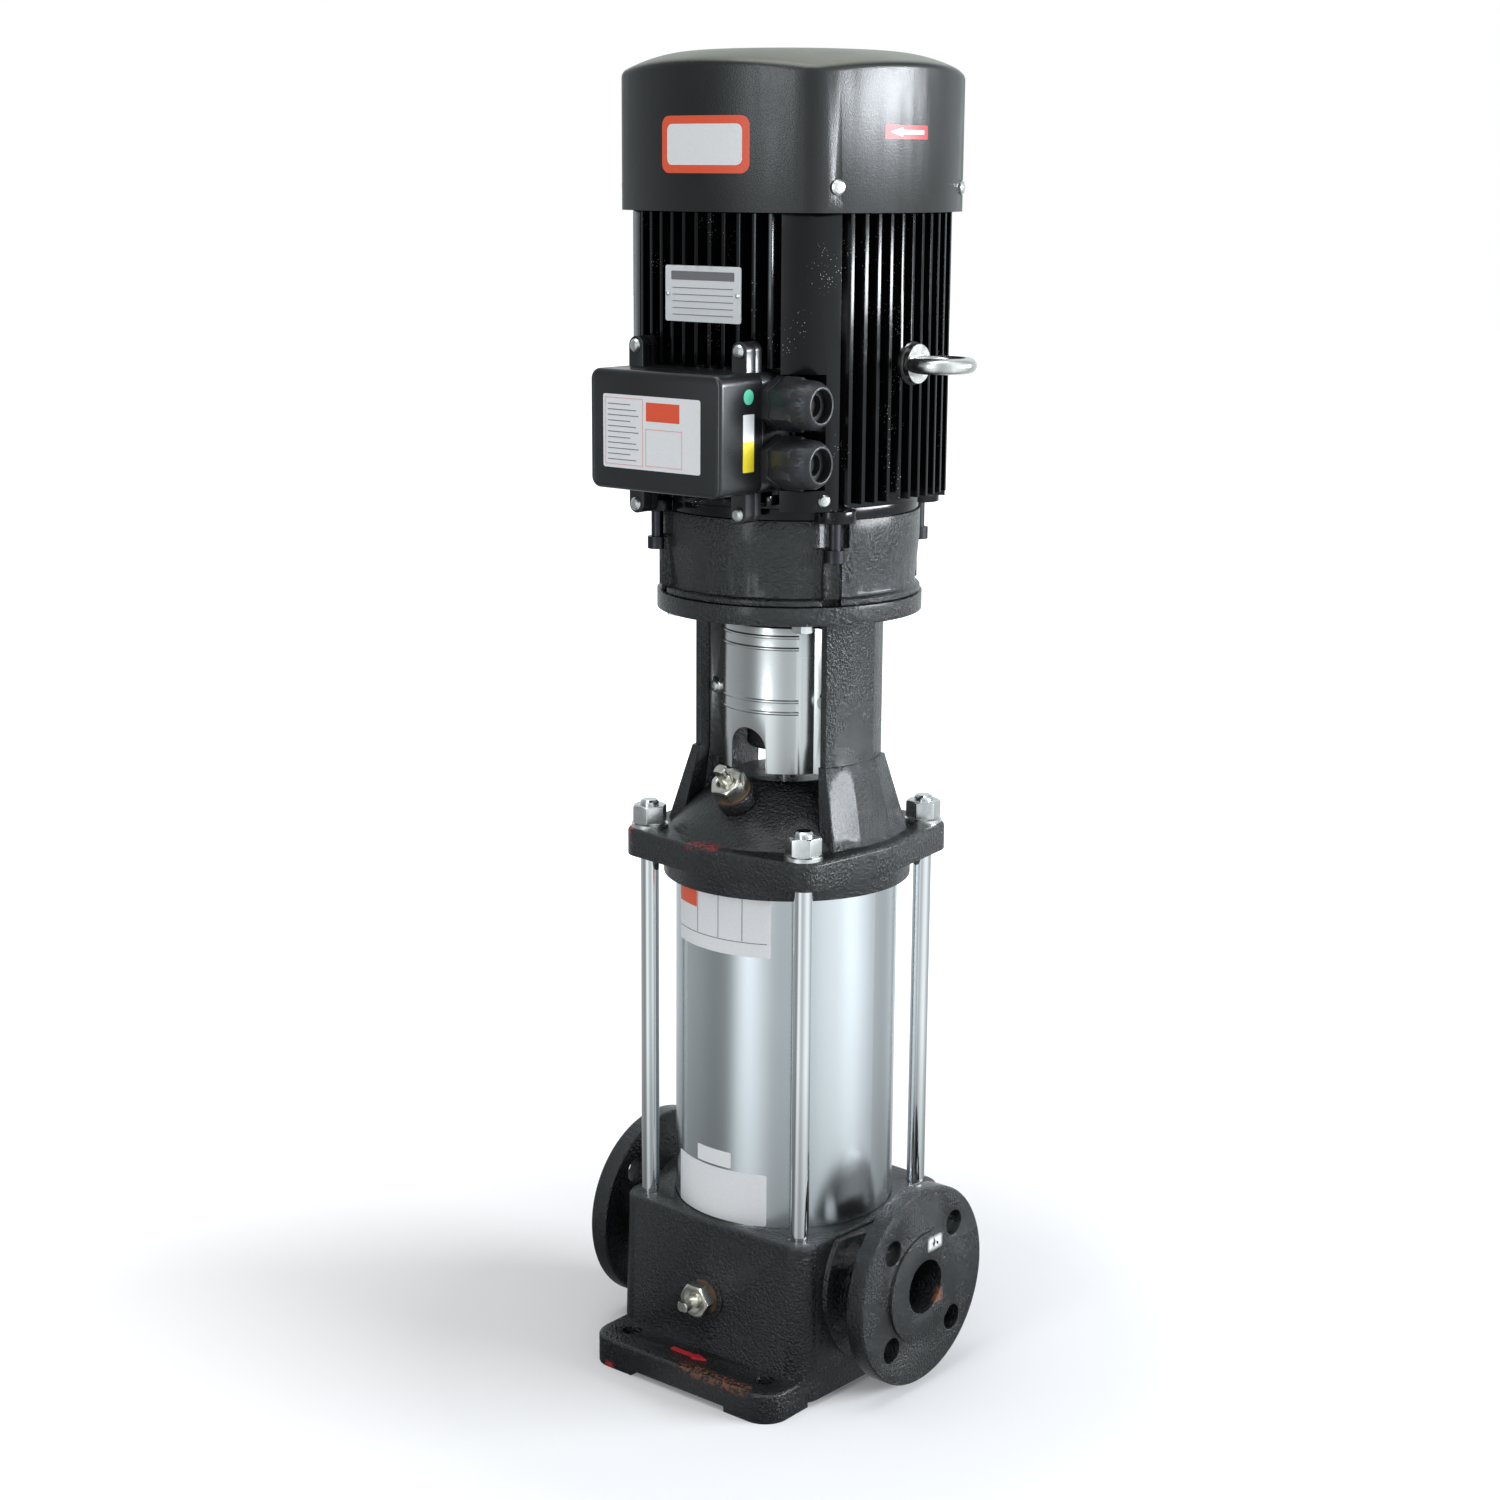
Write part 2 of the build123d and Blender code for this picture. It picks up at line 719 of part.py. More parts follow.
# Coupling guards: bent sheet with two fixing strips, two pairs of beads and a cable arch
def coupling_guard():
    """Guard of the front window, its fixing strips on the pillar ledges."""
    inner = guard_radius - guard_sheet
    sheet_end = degrees(asin(guard_ledge / inner))
    strip_start = inner * cos(radians(sheet_end))
    with BuildPart() as guard:
        plain_radius = guard_radius - guard_field_rise
        turned([
            (inner, guard_bottom), (plain_radius, guard_bottom),
            (plain_radius, guard_bottom + guard_height), (inner, guard_bottom + guard_height),
        ], plane=Plane.XZ.rotated((0, 0, -sheet_end)), arc=2 * sheet_end - 180)
        # The pressed field and its beads stand a hair proud of the plain edges
        crest = guard_radius + guard_bead * 0.7
        field = [(inner, guard_bottom), (guard_radius, guard_bottom)]
        for level in guard_bead_levels:
            height = guard_bottom + guard_height * level
            field += [
                (guard_radius, height - guard_bead), (crest, height - guard_bead * 0.3),
                (crest, height + guard_bead * 0.3), (guard_radius, height + guard_bead),
            ]
        field += [(guard_radius, guard_bottom + guard_height), (inner, guard_bottom + guard_height)]
        turned(field, plane=Plane.XZ.rotated((0, 0, guard_bead_reach - 90)), arc=-2 * guard_bead_reach)
        for side in (-1, 1):
            with BuildSketch(Plane.XY.offset(guard_bottom)) as strip:
                strip_middle = side * (guard_strip_end + strip_start) / 2
                with Locations((strip_middle, -(guard_ledge + guard_sheet / 2))):
                    Rectangle(guard_strip_end - strip_start, guard_sheet)
            extrude(strip.sketch, amount=guard_height)
        arch_foot = guard_bottom + guard_arch_height - guard_arch_width / 2
        with BuildSketch(Plane.XZ.offset(guard_radius + 3)) as arch:
            with Locations((0, (guard_bottom + arch_foot) / 2)):
                Rectangle(guard_arch_width, arch_foot - guard_bottom)
            with Locations((0, arch_foot)):
                Circle(guard_arch_width / 2)
        extrude(arch.sketch, amount=-guard_radius * 0.6, mode=Mode.SUBTRACT)
        # Key slots let the guard lift off loosened screws
        with BuildSketch(Plane.XZ.offset(guard_radius)) as holes:
            for end in (-1, 1):
                with Locations((end * guard_screw_x, guard_screw_z + guard_key_rise / 2)):
                    SlotCenterToCenter(guard_key_rise, screw_diameter + hole_play, rotation=90)
        extrude(holes.sketch, amount=-guard_radius * 0.6, mode=Mode.SUBTRACT)
    return guard.part


front_guard = coupling_guard()
for name, shape in (("front", front_guard), ("rear", front_guard.mirror(Plane.XZ))):
    with BuildPart() as guard_piece:
        add(shape)
    save(guard_piece, f"coupling_guard_{name}")

# Screws of both guards
guard_screw = pan_screw(
    screw_diameter * 1.7, screw_head_height, screw_diameter, guard_sheet + guard_screw_depth - hole_end,
)
strip_face = guard_ledge + guard_sheet
with BuildPart() as guard_screws:
    for side in (-1, 1):
        for end in (-1, 1):
            seat = Plane(
                origin=(end * guard_screw_x, side * strip_face, guard_screw_z),
                x_dir=(1, 0, 0), z_dir=(0, side, 0),
            )
            add(seat.location * guard_screw)
save(guard_screws, "guard_screws")

# Motor adapter: turned shell with four ears for the motor screws
ear_places = [polar(ear_circle_radius, 45 + ear_turn + 90 * k - 90) for k in range(4)]
with BuildPart() as motor_adapter:
    turned([
        (adapter_foot_radius - adapter_wall, lantern_top), (adapter_lip_radius - 1, lantern_top),
        (adapter_lip_radius, lantern_top + 1), (adapter_lip_radius, lantern_top + adapter_lip_height - 1),
        (adapter_lip_radius - 1, lantern_top + adapter_lip_height),
        (adapter_foot_radius + 0.8, lantern_top + adapter_lip_height + 0.8),
        (adapter_foot_radius, lantern_top + adapter_lip_height + 3),
        (adapter_top_radius, adapter_top - ear_height), (adapter_top_radius, adapter_top),
        (adapter_top_radius - adapter_wall, adapter_top),
    ])
    tube(lantern_bore_radius, adapter_foot_radius - adapter_wall + 1, lantern_top, lantern_top + 14)
    with BuildSketch(Plane.XY.offset(adapter_top)) as ears:
        for x, y in ear_places:
            with Locations((x, y)):
                Circle(ear_radius)
        Circle(adapter_top_radius - adapter_wall, mode=Mode.SUBTRACT)
    extrude(ears.sketch, amount=-ear_height)
    for k in range(4):
        with BuildSketch(Plane.XY.offset(lantern_top + adapter_lip_height)) as rib:
            with PolarLocations(adapter_top_radius - 1, 1, start_angle=45 + ear_turn + 90 * k - 90):
                RectangleRounded(9, 13, 2)
        extrude(rib.sketch, amount=adapter_height - adapter_lip_height - ear_height)
    with BuildSketch(Plane.XY.offset(adapter_top)):
        with Locations(*ear_places):
            Circle(motor_bolt_diameter / 2 + hole_play)
    extrude(amount=-ear_height, mode=Mode.SUBTRACT)
    with BuildSketch(Plane.XY.offset(adapter_top - ear_height)):
        with Locations(*ear_places):
            Circle(motor_bolt_head / 2 + hole_play)
    extrude(amount=-(adapter_height - adapter_lip_height - ear_height), mode=Mode.SUBTRACT)
    with BuildSketch(Plane.XY.offset(lantern_top)):
        with PolarLocations(lantern_bolt_circle / 2, 4, start_angle=45):
            Circle(lantern_bolt_diameter / 2 + thread_fit)
    extrude(amount=bolt_grip, mode=Mode.SUBTRACT)
save(motor_adapter, "motor_adapter")

lantern_bolt = rounded_hexagon(lantern_bolt_head, bolt_head_height)
with BuildPart() as lantern_bolts:
    for k in range(4):
        x, y = polar(lantern_bolt_circle / 2, 45 + 90 * k)
        with Locations(Location((x, y, lantern_bottom), (180, 0, 20 * k))):
            add(lantern_bolt)
        with Locations((x, y, lantern_bottom)):
            Cylinder(
                lantern_bolt_diameter / 2, lantern_flange_thickness + bolt_grip - 1,
                align=(Align.CENTER, Align.CENTER, Align.MIN),
            )
save(lantern_bolts, "lantern_bolts")

motor_bolt = cap_screw(
    motor_bolt_head, motor_bolt_head_height, motor_bolt_diameter, ear_height + shield_thickness,
)
with BuildPart() as motor_bolts:
    for x, y in ear_places:
        with Locations(Location((x, y, adapter_top - ear_height), (180, 0, 0))):
            add(motor_bolt)
save(motor_bolts, "motor_bolts")


# Motor end shields with their bearing housings
def bearing_housing(low, high, floor, floor_side):
    """Ring round a bearing with a floor on one side of it."""
    outer = bearing_outer + bearing_housing_wall
    tube(bearing_outer + 0.02, outer, low, high)
    if floor_side > 0:
        tube(rotor_seat_diameter / 2 + 1, outer, high, high + floor)
    else:
        tube(rotor_seat_diameter / 2 - 1, outer, low - floor, low)


with BuildPart() as drive_end_shield:
    tube(bearing_outer, shield_radius, adapter_top, frame_bottom)
    tube(barrel_radius - 12, frame_bore / 2 - 0.1, frame_bottom, frame_bottom + 6)
    bearing_housing(drive_bearing_bottom, drive_bearing_bottom + bearing_width, shield_thickness, -1)
    with BuildSketch(Plane.XY.offset(adapter_top)):
        with Locations(*ear_places):
            Circle(ear_radius)
    extrude(amount=shield_thickness)
    tube(0, bearing_inner + 1, adapter_top, frame_bottom, mode=Mode.SUBTRACT)
    with BuildSketch(Plane.XY.offset(adapter_top)):
        with Locations(*ear_places):
            Circle(motor_bolt_diameter / 2 + thread_fit)
    extrude(amount=shield_thickness + 6, mode=Mode.SUBTRACT)
save(drive_end_shield, "drive_end_shield")

cover_screw_z = cover_bottom + cover_screw_height
cover_side_center = cover_side_radius - cover_half_width
cover_screw_turn = degrees(asin(cover_screw_y / cover_side_radius))


def cover_seats(inset):
    """Planes that face outwards at the four screws, on the cover's side drawn in by an inset."""
    radius = cover_side_radius - inset
    for end in (-1, 1):
        for side in (-1, 1):
            turn = side * cover_screw_turn
            x = radius * cos(radians(turn)) - cover_side_center
            yield Plane(
                origin=(end * x, radius * sin(radians(turn)), cover_screw_z),
                z_dir=(end * cos(radians(turn)), sin(radians(turn)), 0),
            )


with BuildPart() as fan_end_shield:
    tube(bearing_outer + 4, shield_radius, frame_top, fan_shield_top)
    bearing_housing(fan_bearing_bottom - 2, fan_bearing_bottom + bearing_width, 3, 1)
    for seat in cover_seats(cover_wall + 0.2):
        with BuildSketch(seat) as arm:
            Rectangle(fan_shield_thickness * 1.4, fan_shield_thickness * 1.4)
        extrude(arm.sketch, amount=-cover_arm_length)
    for seat in cover_seats(cover_wall + 0.2):
        with BuildSketch(seat) as hole:
            Circle(screw_diameter / 2 + thread_fit)
        extrude(hole.sketch, amount=-cover_screw_length, mode=Mode.SUBTRACT)
save(fan_end_shield, "fan_end_shield")

# Motor frame: barrel, parallel fins on four faces and a plain strip down each corner
crown_center = fin_crown_radius - fin_reach
box_low = box_center - box_height / 2
box_high = box_center + box_height / 2
strip_edge = corner_reach - 1.5
ridge = polar(corner_reach, -45)
ridge_side = polar(strip_edge, corner_half_angle - 45)
earth_x = (ridge[0] + ridge_side[0]) / 2
earth_y = (ridge[1] + ridge_side[1]) / 2
earth_seat = Plane(
    origin=(earth_x, earth_y, frame_bottom + earth_screw_height),
    x_dir=(0, 0, 1),
    z_dir=(ridge_side[1] - ridge[1], ridge[0] - ridge_side[0], 0),
)
with BuildPart() as motor_frame:
    with BuildSketch(Plane.XY.offset(frame_bottom + fin_start)) as fins:
        for turn in (0, 90):
            with Locations(Rotation(0, 0, turn)):
                with GridLocations(fin_pitch, 1, fin_count, 1):
                    Rectangle(fin_thickness, 2 * fin_reach)
        for x, y in ((1, 0), (-1, 0), (0, 1), (0, -1)):
            with Locations((-x * crown_center, -y * crown_center)):
                Circle(fin_crown_radius, mode=Mode.INTERSECT)
        Circle(barrel_radius - 2, mode=Mode.SUBTRACT)
    extrude(fins.sketch, amount=frame_length - fin_start)
    # Corner strips with a slight ridge along the diagonal
    for k in range(4):
        middle = 45 + 90 * k
        with BuildSketch(Plane.XY.offset(frame_bottom)) as strip:
            Polygon(
                polar(barrel_radius - 4, middle - corner_half_angle),
                polar(strip_edge, middle - corner_half_angle),
                polar(corner_reach, middle),
                polar(strip_edge, middle + corner_half_angle),
                polar(barrel_radius - 4, middle + corner_half_angle),
                align=None,
            )
        extrude(strip.sketch, amount=frame_length)
    # Fins give way to the terminal box, its ears and the glands beside it
    with BuildSketch(Plane.XZ.offset(corner_reach)) as box_field:
        with Locations((0, box_center)):
            Rectangle(box_width + 4, box_height + 4)
    extrude(box_field.sketch, amount=-(corner_reach - box_back + 4), mode=Mode.SUBTRACT)
    with BuildSketch(Plane.XZ.offset(corner_reach)) as ear_fields:
        with Locations((-lid_ear_x, box_center), (lid_ear_x, box_center)):
            Rectangle(2 * lid_ear_radius + 2, 2 * (lid_ear_z + lid_ear_radius + 1))
    extrude(ear_fields.sketch, amount=-(corner_reach - box_seam + base_ear_depth + 0.5), mode=Mode.SUBTRACT)
    with BuildSketch(Plane.XZ.offset(corner_reach)) as gland_field:
        with Locations((box_width / 2 + gland_nut_length / 2, box_center)):
            Rectangle(gland_nut_length + 4, gland_pitch + gland_across_flats * 1.2)
    gland_field_depth = corner_reach - gland_depth + gland_across_flats * 0.6
    extrude(gland_field.sketch, amount=-gland_field_depth, mode=Mode.SUBTRACT)
    # Seat of the nameplate on the front fins
    with BuildSketch(Plane.XZ.offset(corner_reach)) as plate_field:
        with Locations((plate_center_x, plate_center_z)):
            Rectangle(plate_width + 1, plate_tall + 1)
    extrude(plate_field.sketch, amount=-(corner_reach - plate_seat), mode=Mode.SUBTRACT)
    tube(frame_bore / 2, barrel_radius, frame_bottom, frame_top)
    # Boss for the eyebolt on the outlet side
    with BuildSketch(Plane.YZ.offset(eyebolt_seat)) as boss:
        with Locations((0, eyebolt_height)):
            Circle(eyebolt_collar_radius + 1.5)
    extrude(boss.sketch, amount=-(eyebolt_seat - barrel_radius + 4))
    with BuildSketch(Plane.YZ.offset(eyebolt_seat)) as bore:
        with Locations((0, eyebolt_height)):
            Circle(eyebolt_thread / 2 + thread_fit)
    extrude(bore.sketch, amount=-(eyebolt_seat - barrel_radius + 2), mode=Mode.SUBTRACT)
    with BuildSketch(earth_seat) as earth_hole:
        Circle(screw_diameter / 2 + thread_fit)
    extrude(earth_hole.sketch, amount=-earth_screw_length, mode=Mode.SUBTRACT)
save(motor_frame, "motor_frame")

with BuildPart() as stator_core:
    tube(stator_bore / 2, frame_bore / 2 - thread_fit, stator_bottom, stator_top)
save(stator_core, "stator_core")

with BuildPart() as stator_windings:
    for low in (stator_bottom - winding_length, stator_top):
        turned([
            (winding_inner / 2, low), (winding_outer / 2 - 3, low), (winding_outer / 2, low + 3),
            (winding_outer / 2, low + winding_length - 3), (winding_outer / 2 - 3, low + winding_length),
            (winding_inner / 2, low + winding_length),
        ])
save(stator_windings, "stator_windings")

# Bearings: outer rings with their shields stay with the motor, inner rings turn
with BuildPart() as bearing_outer_rings:
    for low in (drive_bearing_bottom, fan_bearing_bottom):
        high = low + bearing_width
        rim = bearing_outer - bearing_ring
        lip = bearing_inner + bearing_ring + running_gap
        turned([
            (lip, low), (bearing_outer, low), (bearing_outer, high), (lip, high),
            (lip, high - bearing_shield), (rim, high - bearing_shield),
            (rim, low + bearing_shield), (lip, low + bearing_shield),
        ])
save(bearing_outer_rings, "bearing_outer_rings")

with BuildPart() as bearing_inner_rings:
    for low in (drive_bearing_bottom, fan_bearing_bottom):
        tube(bearing_inner + 0.01, bearing_inner + bearing_ring, low, low + bearing_width)
save(bearing_inner_rings, "bearing_inner_rings")


# Fan cover: four bulging sides under a domed top with an intake grille
def cover_block(inset, top_inset):
    """Solid of the cover, drawn inwards by an inset on its sides and its top."""
    half = cover_half_width - inset
    side = cover_side_radius - inset
    crest = cover_top - top_inset
    with BuildPart() as block:
        with BuildSketch(Plane.XY.offset(cover_bottom)) as plan:
            Circle(cover_half_width * 1.3)
            for x, y in ((1, 0), (-1, 0), (0, 1), (0, -1)):
                with Locations((-x * (side - half), -y * (side - half))):
                    Circle(side, mode=Mode.INTERSECT)
            fillet(plan.vertices(), cover_corner - inset)
        extrude(plan.sketch, amount=crest - cover_bottom)
        with BuildSketch(Plane.XZ) as crown:
            with BuildLine():
                top = ThreePointArc(
                    (0, crest), (cover_crown_radius / 2, crest - cover_crown_drop / 4),
                    (cover_crown_radius, crest - cover_crown_drop),
                )
                fall = ThreePointArc(
                    top @ 1, (cover_shoulder_radius, crest - cover_shoulder_drop),
                    (cover_brim_radius, crest - cover_brim_drop),
                )
                Polyline(fall @ 1, (cover_brim_radius, cover_bottom), (0, cover_bottom), top @ 0)
            make_face()
        revolve(crown.sketch, axis=Axis.Z, mode=Mode.INTERSECT)
        rims = block.edges().filter_by(
            lambda edge: edge.center().Z > cover_bottom + cover_height / 2
            and edge.bounding_box().size.Z < cover_brim_drop
            and sqrt(edge.center().X**2 + edge.center().Y**2) > cover_half_width * 0.95
        )
        fillet(rims, cover_edge - inset)
    return block.part


with BuildPart() as fan_cover:
    add(cover_block(0, 0))
    add(cover_block(cover_wall, cover_wall), mode=Mode.SUBTRACT)
    grille_reach = grille_first + grille_rings * grille_pitch
    with BuildSketch(Plane.XY.offset(cover_top)) as slots:
        for ring in reversed(range(grille_rings)):
            radius = grille_first + ring * grille_pitch
            Circle(radius + grille_slot / 2)
            Circle(radius - grille_slot / 2, mode=Mode.SUBTRACT)
        for turn in range(0, 180, 180 // grille_spokes):
            Rectangle(2 * grille_reach, grille_spoke, rotation=turn, mode=Mode.SUBTRACT)
    extrude(slots.sketch, amount=-(cover_shoulder_drop + cover_wall + 4), mode=Mode.SUBTRACT)
    for seat in cover_seats(0):
        with BuildSketch(seat) as hole:
            Circle(screw_diameter / 2 + hole_play / 2)
        extrude(hole.sketch, amount=-cover_wall * 3, mode=Mode.SUBTRACT)
save(fan_cover, "fan_cover")

cover_screw = pan_screw(cover_screw_head, screw_head_height, screw_diameter, cover_wall + cover_screw_length)
with BuildPart() as fan_cover_screws:
    for seat in cover_seats(0):
        add(seat.location * cover_screw)
save(fan_cover_screws, "fan_cover_screws")

# Terminal box: base that saddles the barrel, lid with four ears, and the terminal block
def ear_spots():
    """Centres of the four ears in the plane of the box, X across and Z up."""
    return [(x * lid_ear_x, box_center + z * lid_ear_z) for x in (-1, 1) for z in (-1, 1)]


def box_shell(near, far, ear_depth, ear_from):
    """Rounded box between two depths, with an ear at each corner."""
    with BuildSketch(Plane.XZ.offset(near)) as outline:
        with Locations((0, box_center)):
            RectangleRounded(box_width, box_height, box_corner)
    extrude(outline.sketch, amount=far - near)
    with BuildSketch(Plane.XZ.offset(ear_from)) as ears:
        web = lid_ear_z - box_height / 2 + box_corner
        for x, z in ear_spots():
            with Locations((x, z)):
                Circle(lid_ear_radius)
            with Locations((x, z - web / 2 if z > box_center else z + web / 2)):
                Rectangle(2 * lid_ear_radius, web)
    extrude(ears.sketch, amount=ear_depth)


with BuildPart() as terminal_box_base:
    box_shell(box_back, box_seam, base_ear_depth, box_seam - base_ear_depth)
    with BuildSketch(Plane.XZ.offset(box_seam)) as hollow:
        with Locations((0, box_center)):
            RectangleRounded(box_width - 2 * box_wall, box_height - 2 * box_wall, box_corner - box_wall)
    extrude(hollow.sketch, amount=-(box_seam - barrel_radius - box_wall), mode=Mode.SUBTRACT)
    with BuildSketch(Plane.XZ.offset(box_seam)) as gland_pocket:
        with Locations((box_width / 2 - box_wall - gland_collar, box_center)):
            Rectangle(2 * gland_collar, box_height - 2 * box_wall)
    extrude(gland_pocket.sketch, amount=-(box_seam - box_back - box_wall), mode=Mode.SUBTRACT)
    tube(0, barrel_radius + saddle_gap, box_low - 20, box_high + 20, mode=Mode.SUBTRACT)
    for z in (-1, 1):
        with BuildSketch(Plane.YZ.offset(box_width / 2)) as entry:
            with Locations((-gland_depth, box_center + z * gland_pitch / 2)):
                Circle(gland_thread / 2 + thread_fit)
        extrude(entry.sketch, amount=-2 * box_wall, mode=Mode.SUBTRACT)
    with BuildSketch(Plane.XZ.offset(box_seam)) as screws:
        with Locations(*ear_spots()):
            Circle(screw_diameter / 2 + thread_fit)
    extrude(screws.sketch, amount=-base_ear_depth + 1, mode=Mode.SUBTRACT)
save(terminal_box_base, "terminal_box_base")

with BuildPart() as terminal_box_lid:
    box_shell(box_seam, box_front, lid_ear_depth, box_seam)
    fillet(terminal_box_lid.faces().sort_by(Axis.Y)[0].edges(), 3)
    with BuildSketch(Plane.XZ.offset(box_seam)) as hollow:
        with Locations((0, box_center)):
            RectangleRounded(box_width - 2 * box_wall, box_height - 2 * box_wall, box_corner - box_wall)
    extrude(hollow.sketch, amount=box_front - box_seam - box_wall, mode=Mode.SUBTRACT)
    with BuildSketch(Plane.XZ.offset(box_seam)) as screws:
        with Locations(*ear_spots()):
            Circle(screw_diameter / 2 + hole_play / 2)
    extrude(screws.sketch, amount=lid_ear_depth, mode=Mode.SUBTRACT)
save(terminal_box_lid, "terminal_box_lid")

lid_screw = pan_screw(lid_screw_head, screw_head_height, screw_diameter, lid_ear_depth + base_ear_depth - 1.5)
with BuildPart() as terminal_lid_screws:
    for x, z in ear_spots():
        seat = Plane(origin=(x, -(box_seam + lid_ear_depth), z), x_dir=(1, 0, 0), z_dir=(0, -1, 0))
        add(seat.location * lid_screw)
save(terminal_lid_screws, "terminal_lid_screws")

block_seat = barrel_radius + box_wall
with BuildPart() as terminal_block:
    with BuildSketch(Plane.XZ.offset(block_seat)) as block:
        with Locations((-4, box_center)):
            RectangleRounded(56, 32, 3)
    extrude(block.sketch, amount=9)
    with BuildSketch(Plane.XZ.offset(block_seat + 9)) as studs:
        with Locations((-4, box_center)):
            with GridLocations(18, 16, 3, 2):
                RegularPolygon(4, 6)
    extrude(studs.sketch, amount=8)
save(terminal_block, "terminal_block")

# Cable glands: threaded body, domed nut and rubber seal
gland_seats = [
    Plane(
        origin=(box_width / 2, -gland_depth, box_center + z * gland_pitch / 2),
        x_dir=(0, 0, 1), z_dir=(1, 0, 0),
    )
    for z in (1, -1)
]
gland_half = gland_across_flats / 2
nut_start = gland_collar + 0.3
seal_end = nut_start + gland_nut_length - gland_mouth - 0.5


def gland_body():
    """Hexagon collar with its thread into the box and a sleeve into the nut."""
    collar = rounded_hexagon(gland_across_flats, gland_collar)
    with BuildPart() as body:
        add(collar)
        turned([
            (gland_opening + 0.5, -gland_thread_length), (gland_thread / 2, -gland_thread_length),
            (gland_thread / 2, 0.5), (gland_half - 3, 0.5), (gland_half - 3, gland_nut_length / 2),
            (gland_opening + 0.5, gland_nut_length / 2),
        ])
        Hole(gland_opening)
    return body.part


def gland_nut():
    """Domed clamping nut with a hexagon towards the box."""
    hexagon = rounded_hexagon(gland_across_flats, gland_nut_length * 0.55)
    end = nut_start + gland_nut_length
    with BuildPart() as body:
        with Locations((0, 0, nut_start)):
            add(hexagon)
        turned([
            (0, nut_start + 2), (gland_half, nut_start + 2),
            (gland_half + 0.8, nut_start + gland_nut_length * 0.6),
            (gland_half + 0.2, end - 5), (gland_half - 1.6, end - 1.6), (gland_half - 3, end), (0, end),
        ])
        tube(0, gland_half - 3 + thread_fit, nut_start, gland_nut_length / 2 + 2, mode=Mode.SUBTRACT)
        tube(0, gland_opening + gland_step, nut_start, end - gland_mouth, mode=Mode.SUBTRACT)
        tube(0, gland_opening, nut_start, end, mode=Mode.SUBTRACT)
    return body.part


with BuildPart() as cable_gland_bodies:
    for seat in gland_seats:
        add(seat.location * gland_body())
save(cable_gland_bodies, "cable_gland_bodies")

with BuildPart() as cable_gland_nuts:
    for seat in gland_seats:
        add(seat.location * gland_nut())
save(cable_gland_nuts, "cable_gland_nuts")

with BuildPart() as cable_gland_seals:
    for seat in gland_seats:
        with BuildPart(mode=Mode.PRIVATE) as seal:
            turned([
                (0, 4), (gland_opening - thread_fit, 4),
                (gland_opening - thread_fit, gland_nut_length / 2 + 1),
                (gland_opening + gland_step - thread_fit, gland_nut_length / 2 + 1),
                (gland_opening + gland_step - thread_fit, seal_end), (gland_opening - 3.5, seal_end),
                (gland_opening - 4, seal_end - 4), (0, seal_end - 4),
            ])
        add(seat.location * seal.part)
save(cable_gland_seals, "cable_gland_seals")

# Eyebolt, nameplate and earth screw on the motor frame
with BuildPart() as eyebolt:
    ring_center = eyebolt_seat + eyebolt_ring_radius + eyebolt_bar_radius
    with BuildSketch(Plane.XZ) as bar:
        with Locations((ring_center + eyebolt_ring_radius, eyebolt_height)):
            Circle(eyebolt_bar_radius)
    revolve(bar.sketch, axis=Axis((ring_center, 0, 0), (0, 0, 1)))
    with BuildSketch(Plane.YZ.offset(eyebolt_seat)) as collar:
        with Locations((0, eyebolt_height)):
            Circle(eyebolt_collar_radius)
    extrude(collar.sketch, amount=eyebolt_bar_radius)
    with BuildSketch(Plane.YZ.offset(eyebolt_seat)) as thread:
        with Locations((0, eyebolt_height)):
            Circle(eyebolt_thread / 2)
    extrude(thread.sketch, amount=-(eyebolt_seat - barrel_radius))
save(eyebolt, "eyebolt")

with BuildPart() as nameplate:
    with BuildSketch(Plane.XZ.offset(plate_seat)) as plate:
        with Locations((plate_center_x, plate_center_z)):
            RectangleRounded(plate_width, plate_tall, 1.5)
    extrude(plate.sketch, amount=plate_thickness)
save(nameplate, "nameplate")

with BuildPart() as earth_screw:
    add(earth_seat.location * pan_screw(
        earth_screw_head, screw_head_height, screw_diameter, earth_screw_length - hole_end,
    ))
save(earth_screw, "earth_screw")

# Hydraulic stack: suction guide, stage chambers and discharge guide
with BuildPart() as suction_guide:
    funnel_foot = well_radius + well_wall - 2
    turned([
        (well_radius, suction_seat), (funnel_foot, suction_seat), (funnel_foot, suction_seat + 8),
        (chamber_radius, stack_start - 4), (chamber_radius, stack_start), (chamber_radius - 4, stack_start),
        (well_radius, suction_seat + 8),
    ])
    tube(shaft_radius + 1.5 + shaft_fit, hub_radius + 2, suction_seat + 2, stack_start - 3)
    for turn in (30, 150, 270):
        with BuildSketch(Plane.XY.offset(suction_seat + 2)) as web:
            with Locations(polar((hub_radius + well_radius) / 2 + 1, turn)):
                Rectangle(well_radius - hub_radius + 2, 3, rotation=turn)
        extrude(web.sketch, amount=suction_guide_height - 8)
save(suction_guide, "suction_guide")

with BuildPart() as bottom_bush:
    tube(shaft_bore, shaft_radius + 1.5, suction_seat + 2, stack_start - 3)
save(bottom_bush, "bottom_bush")


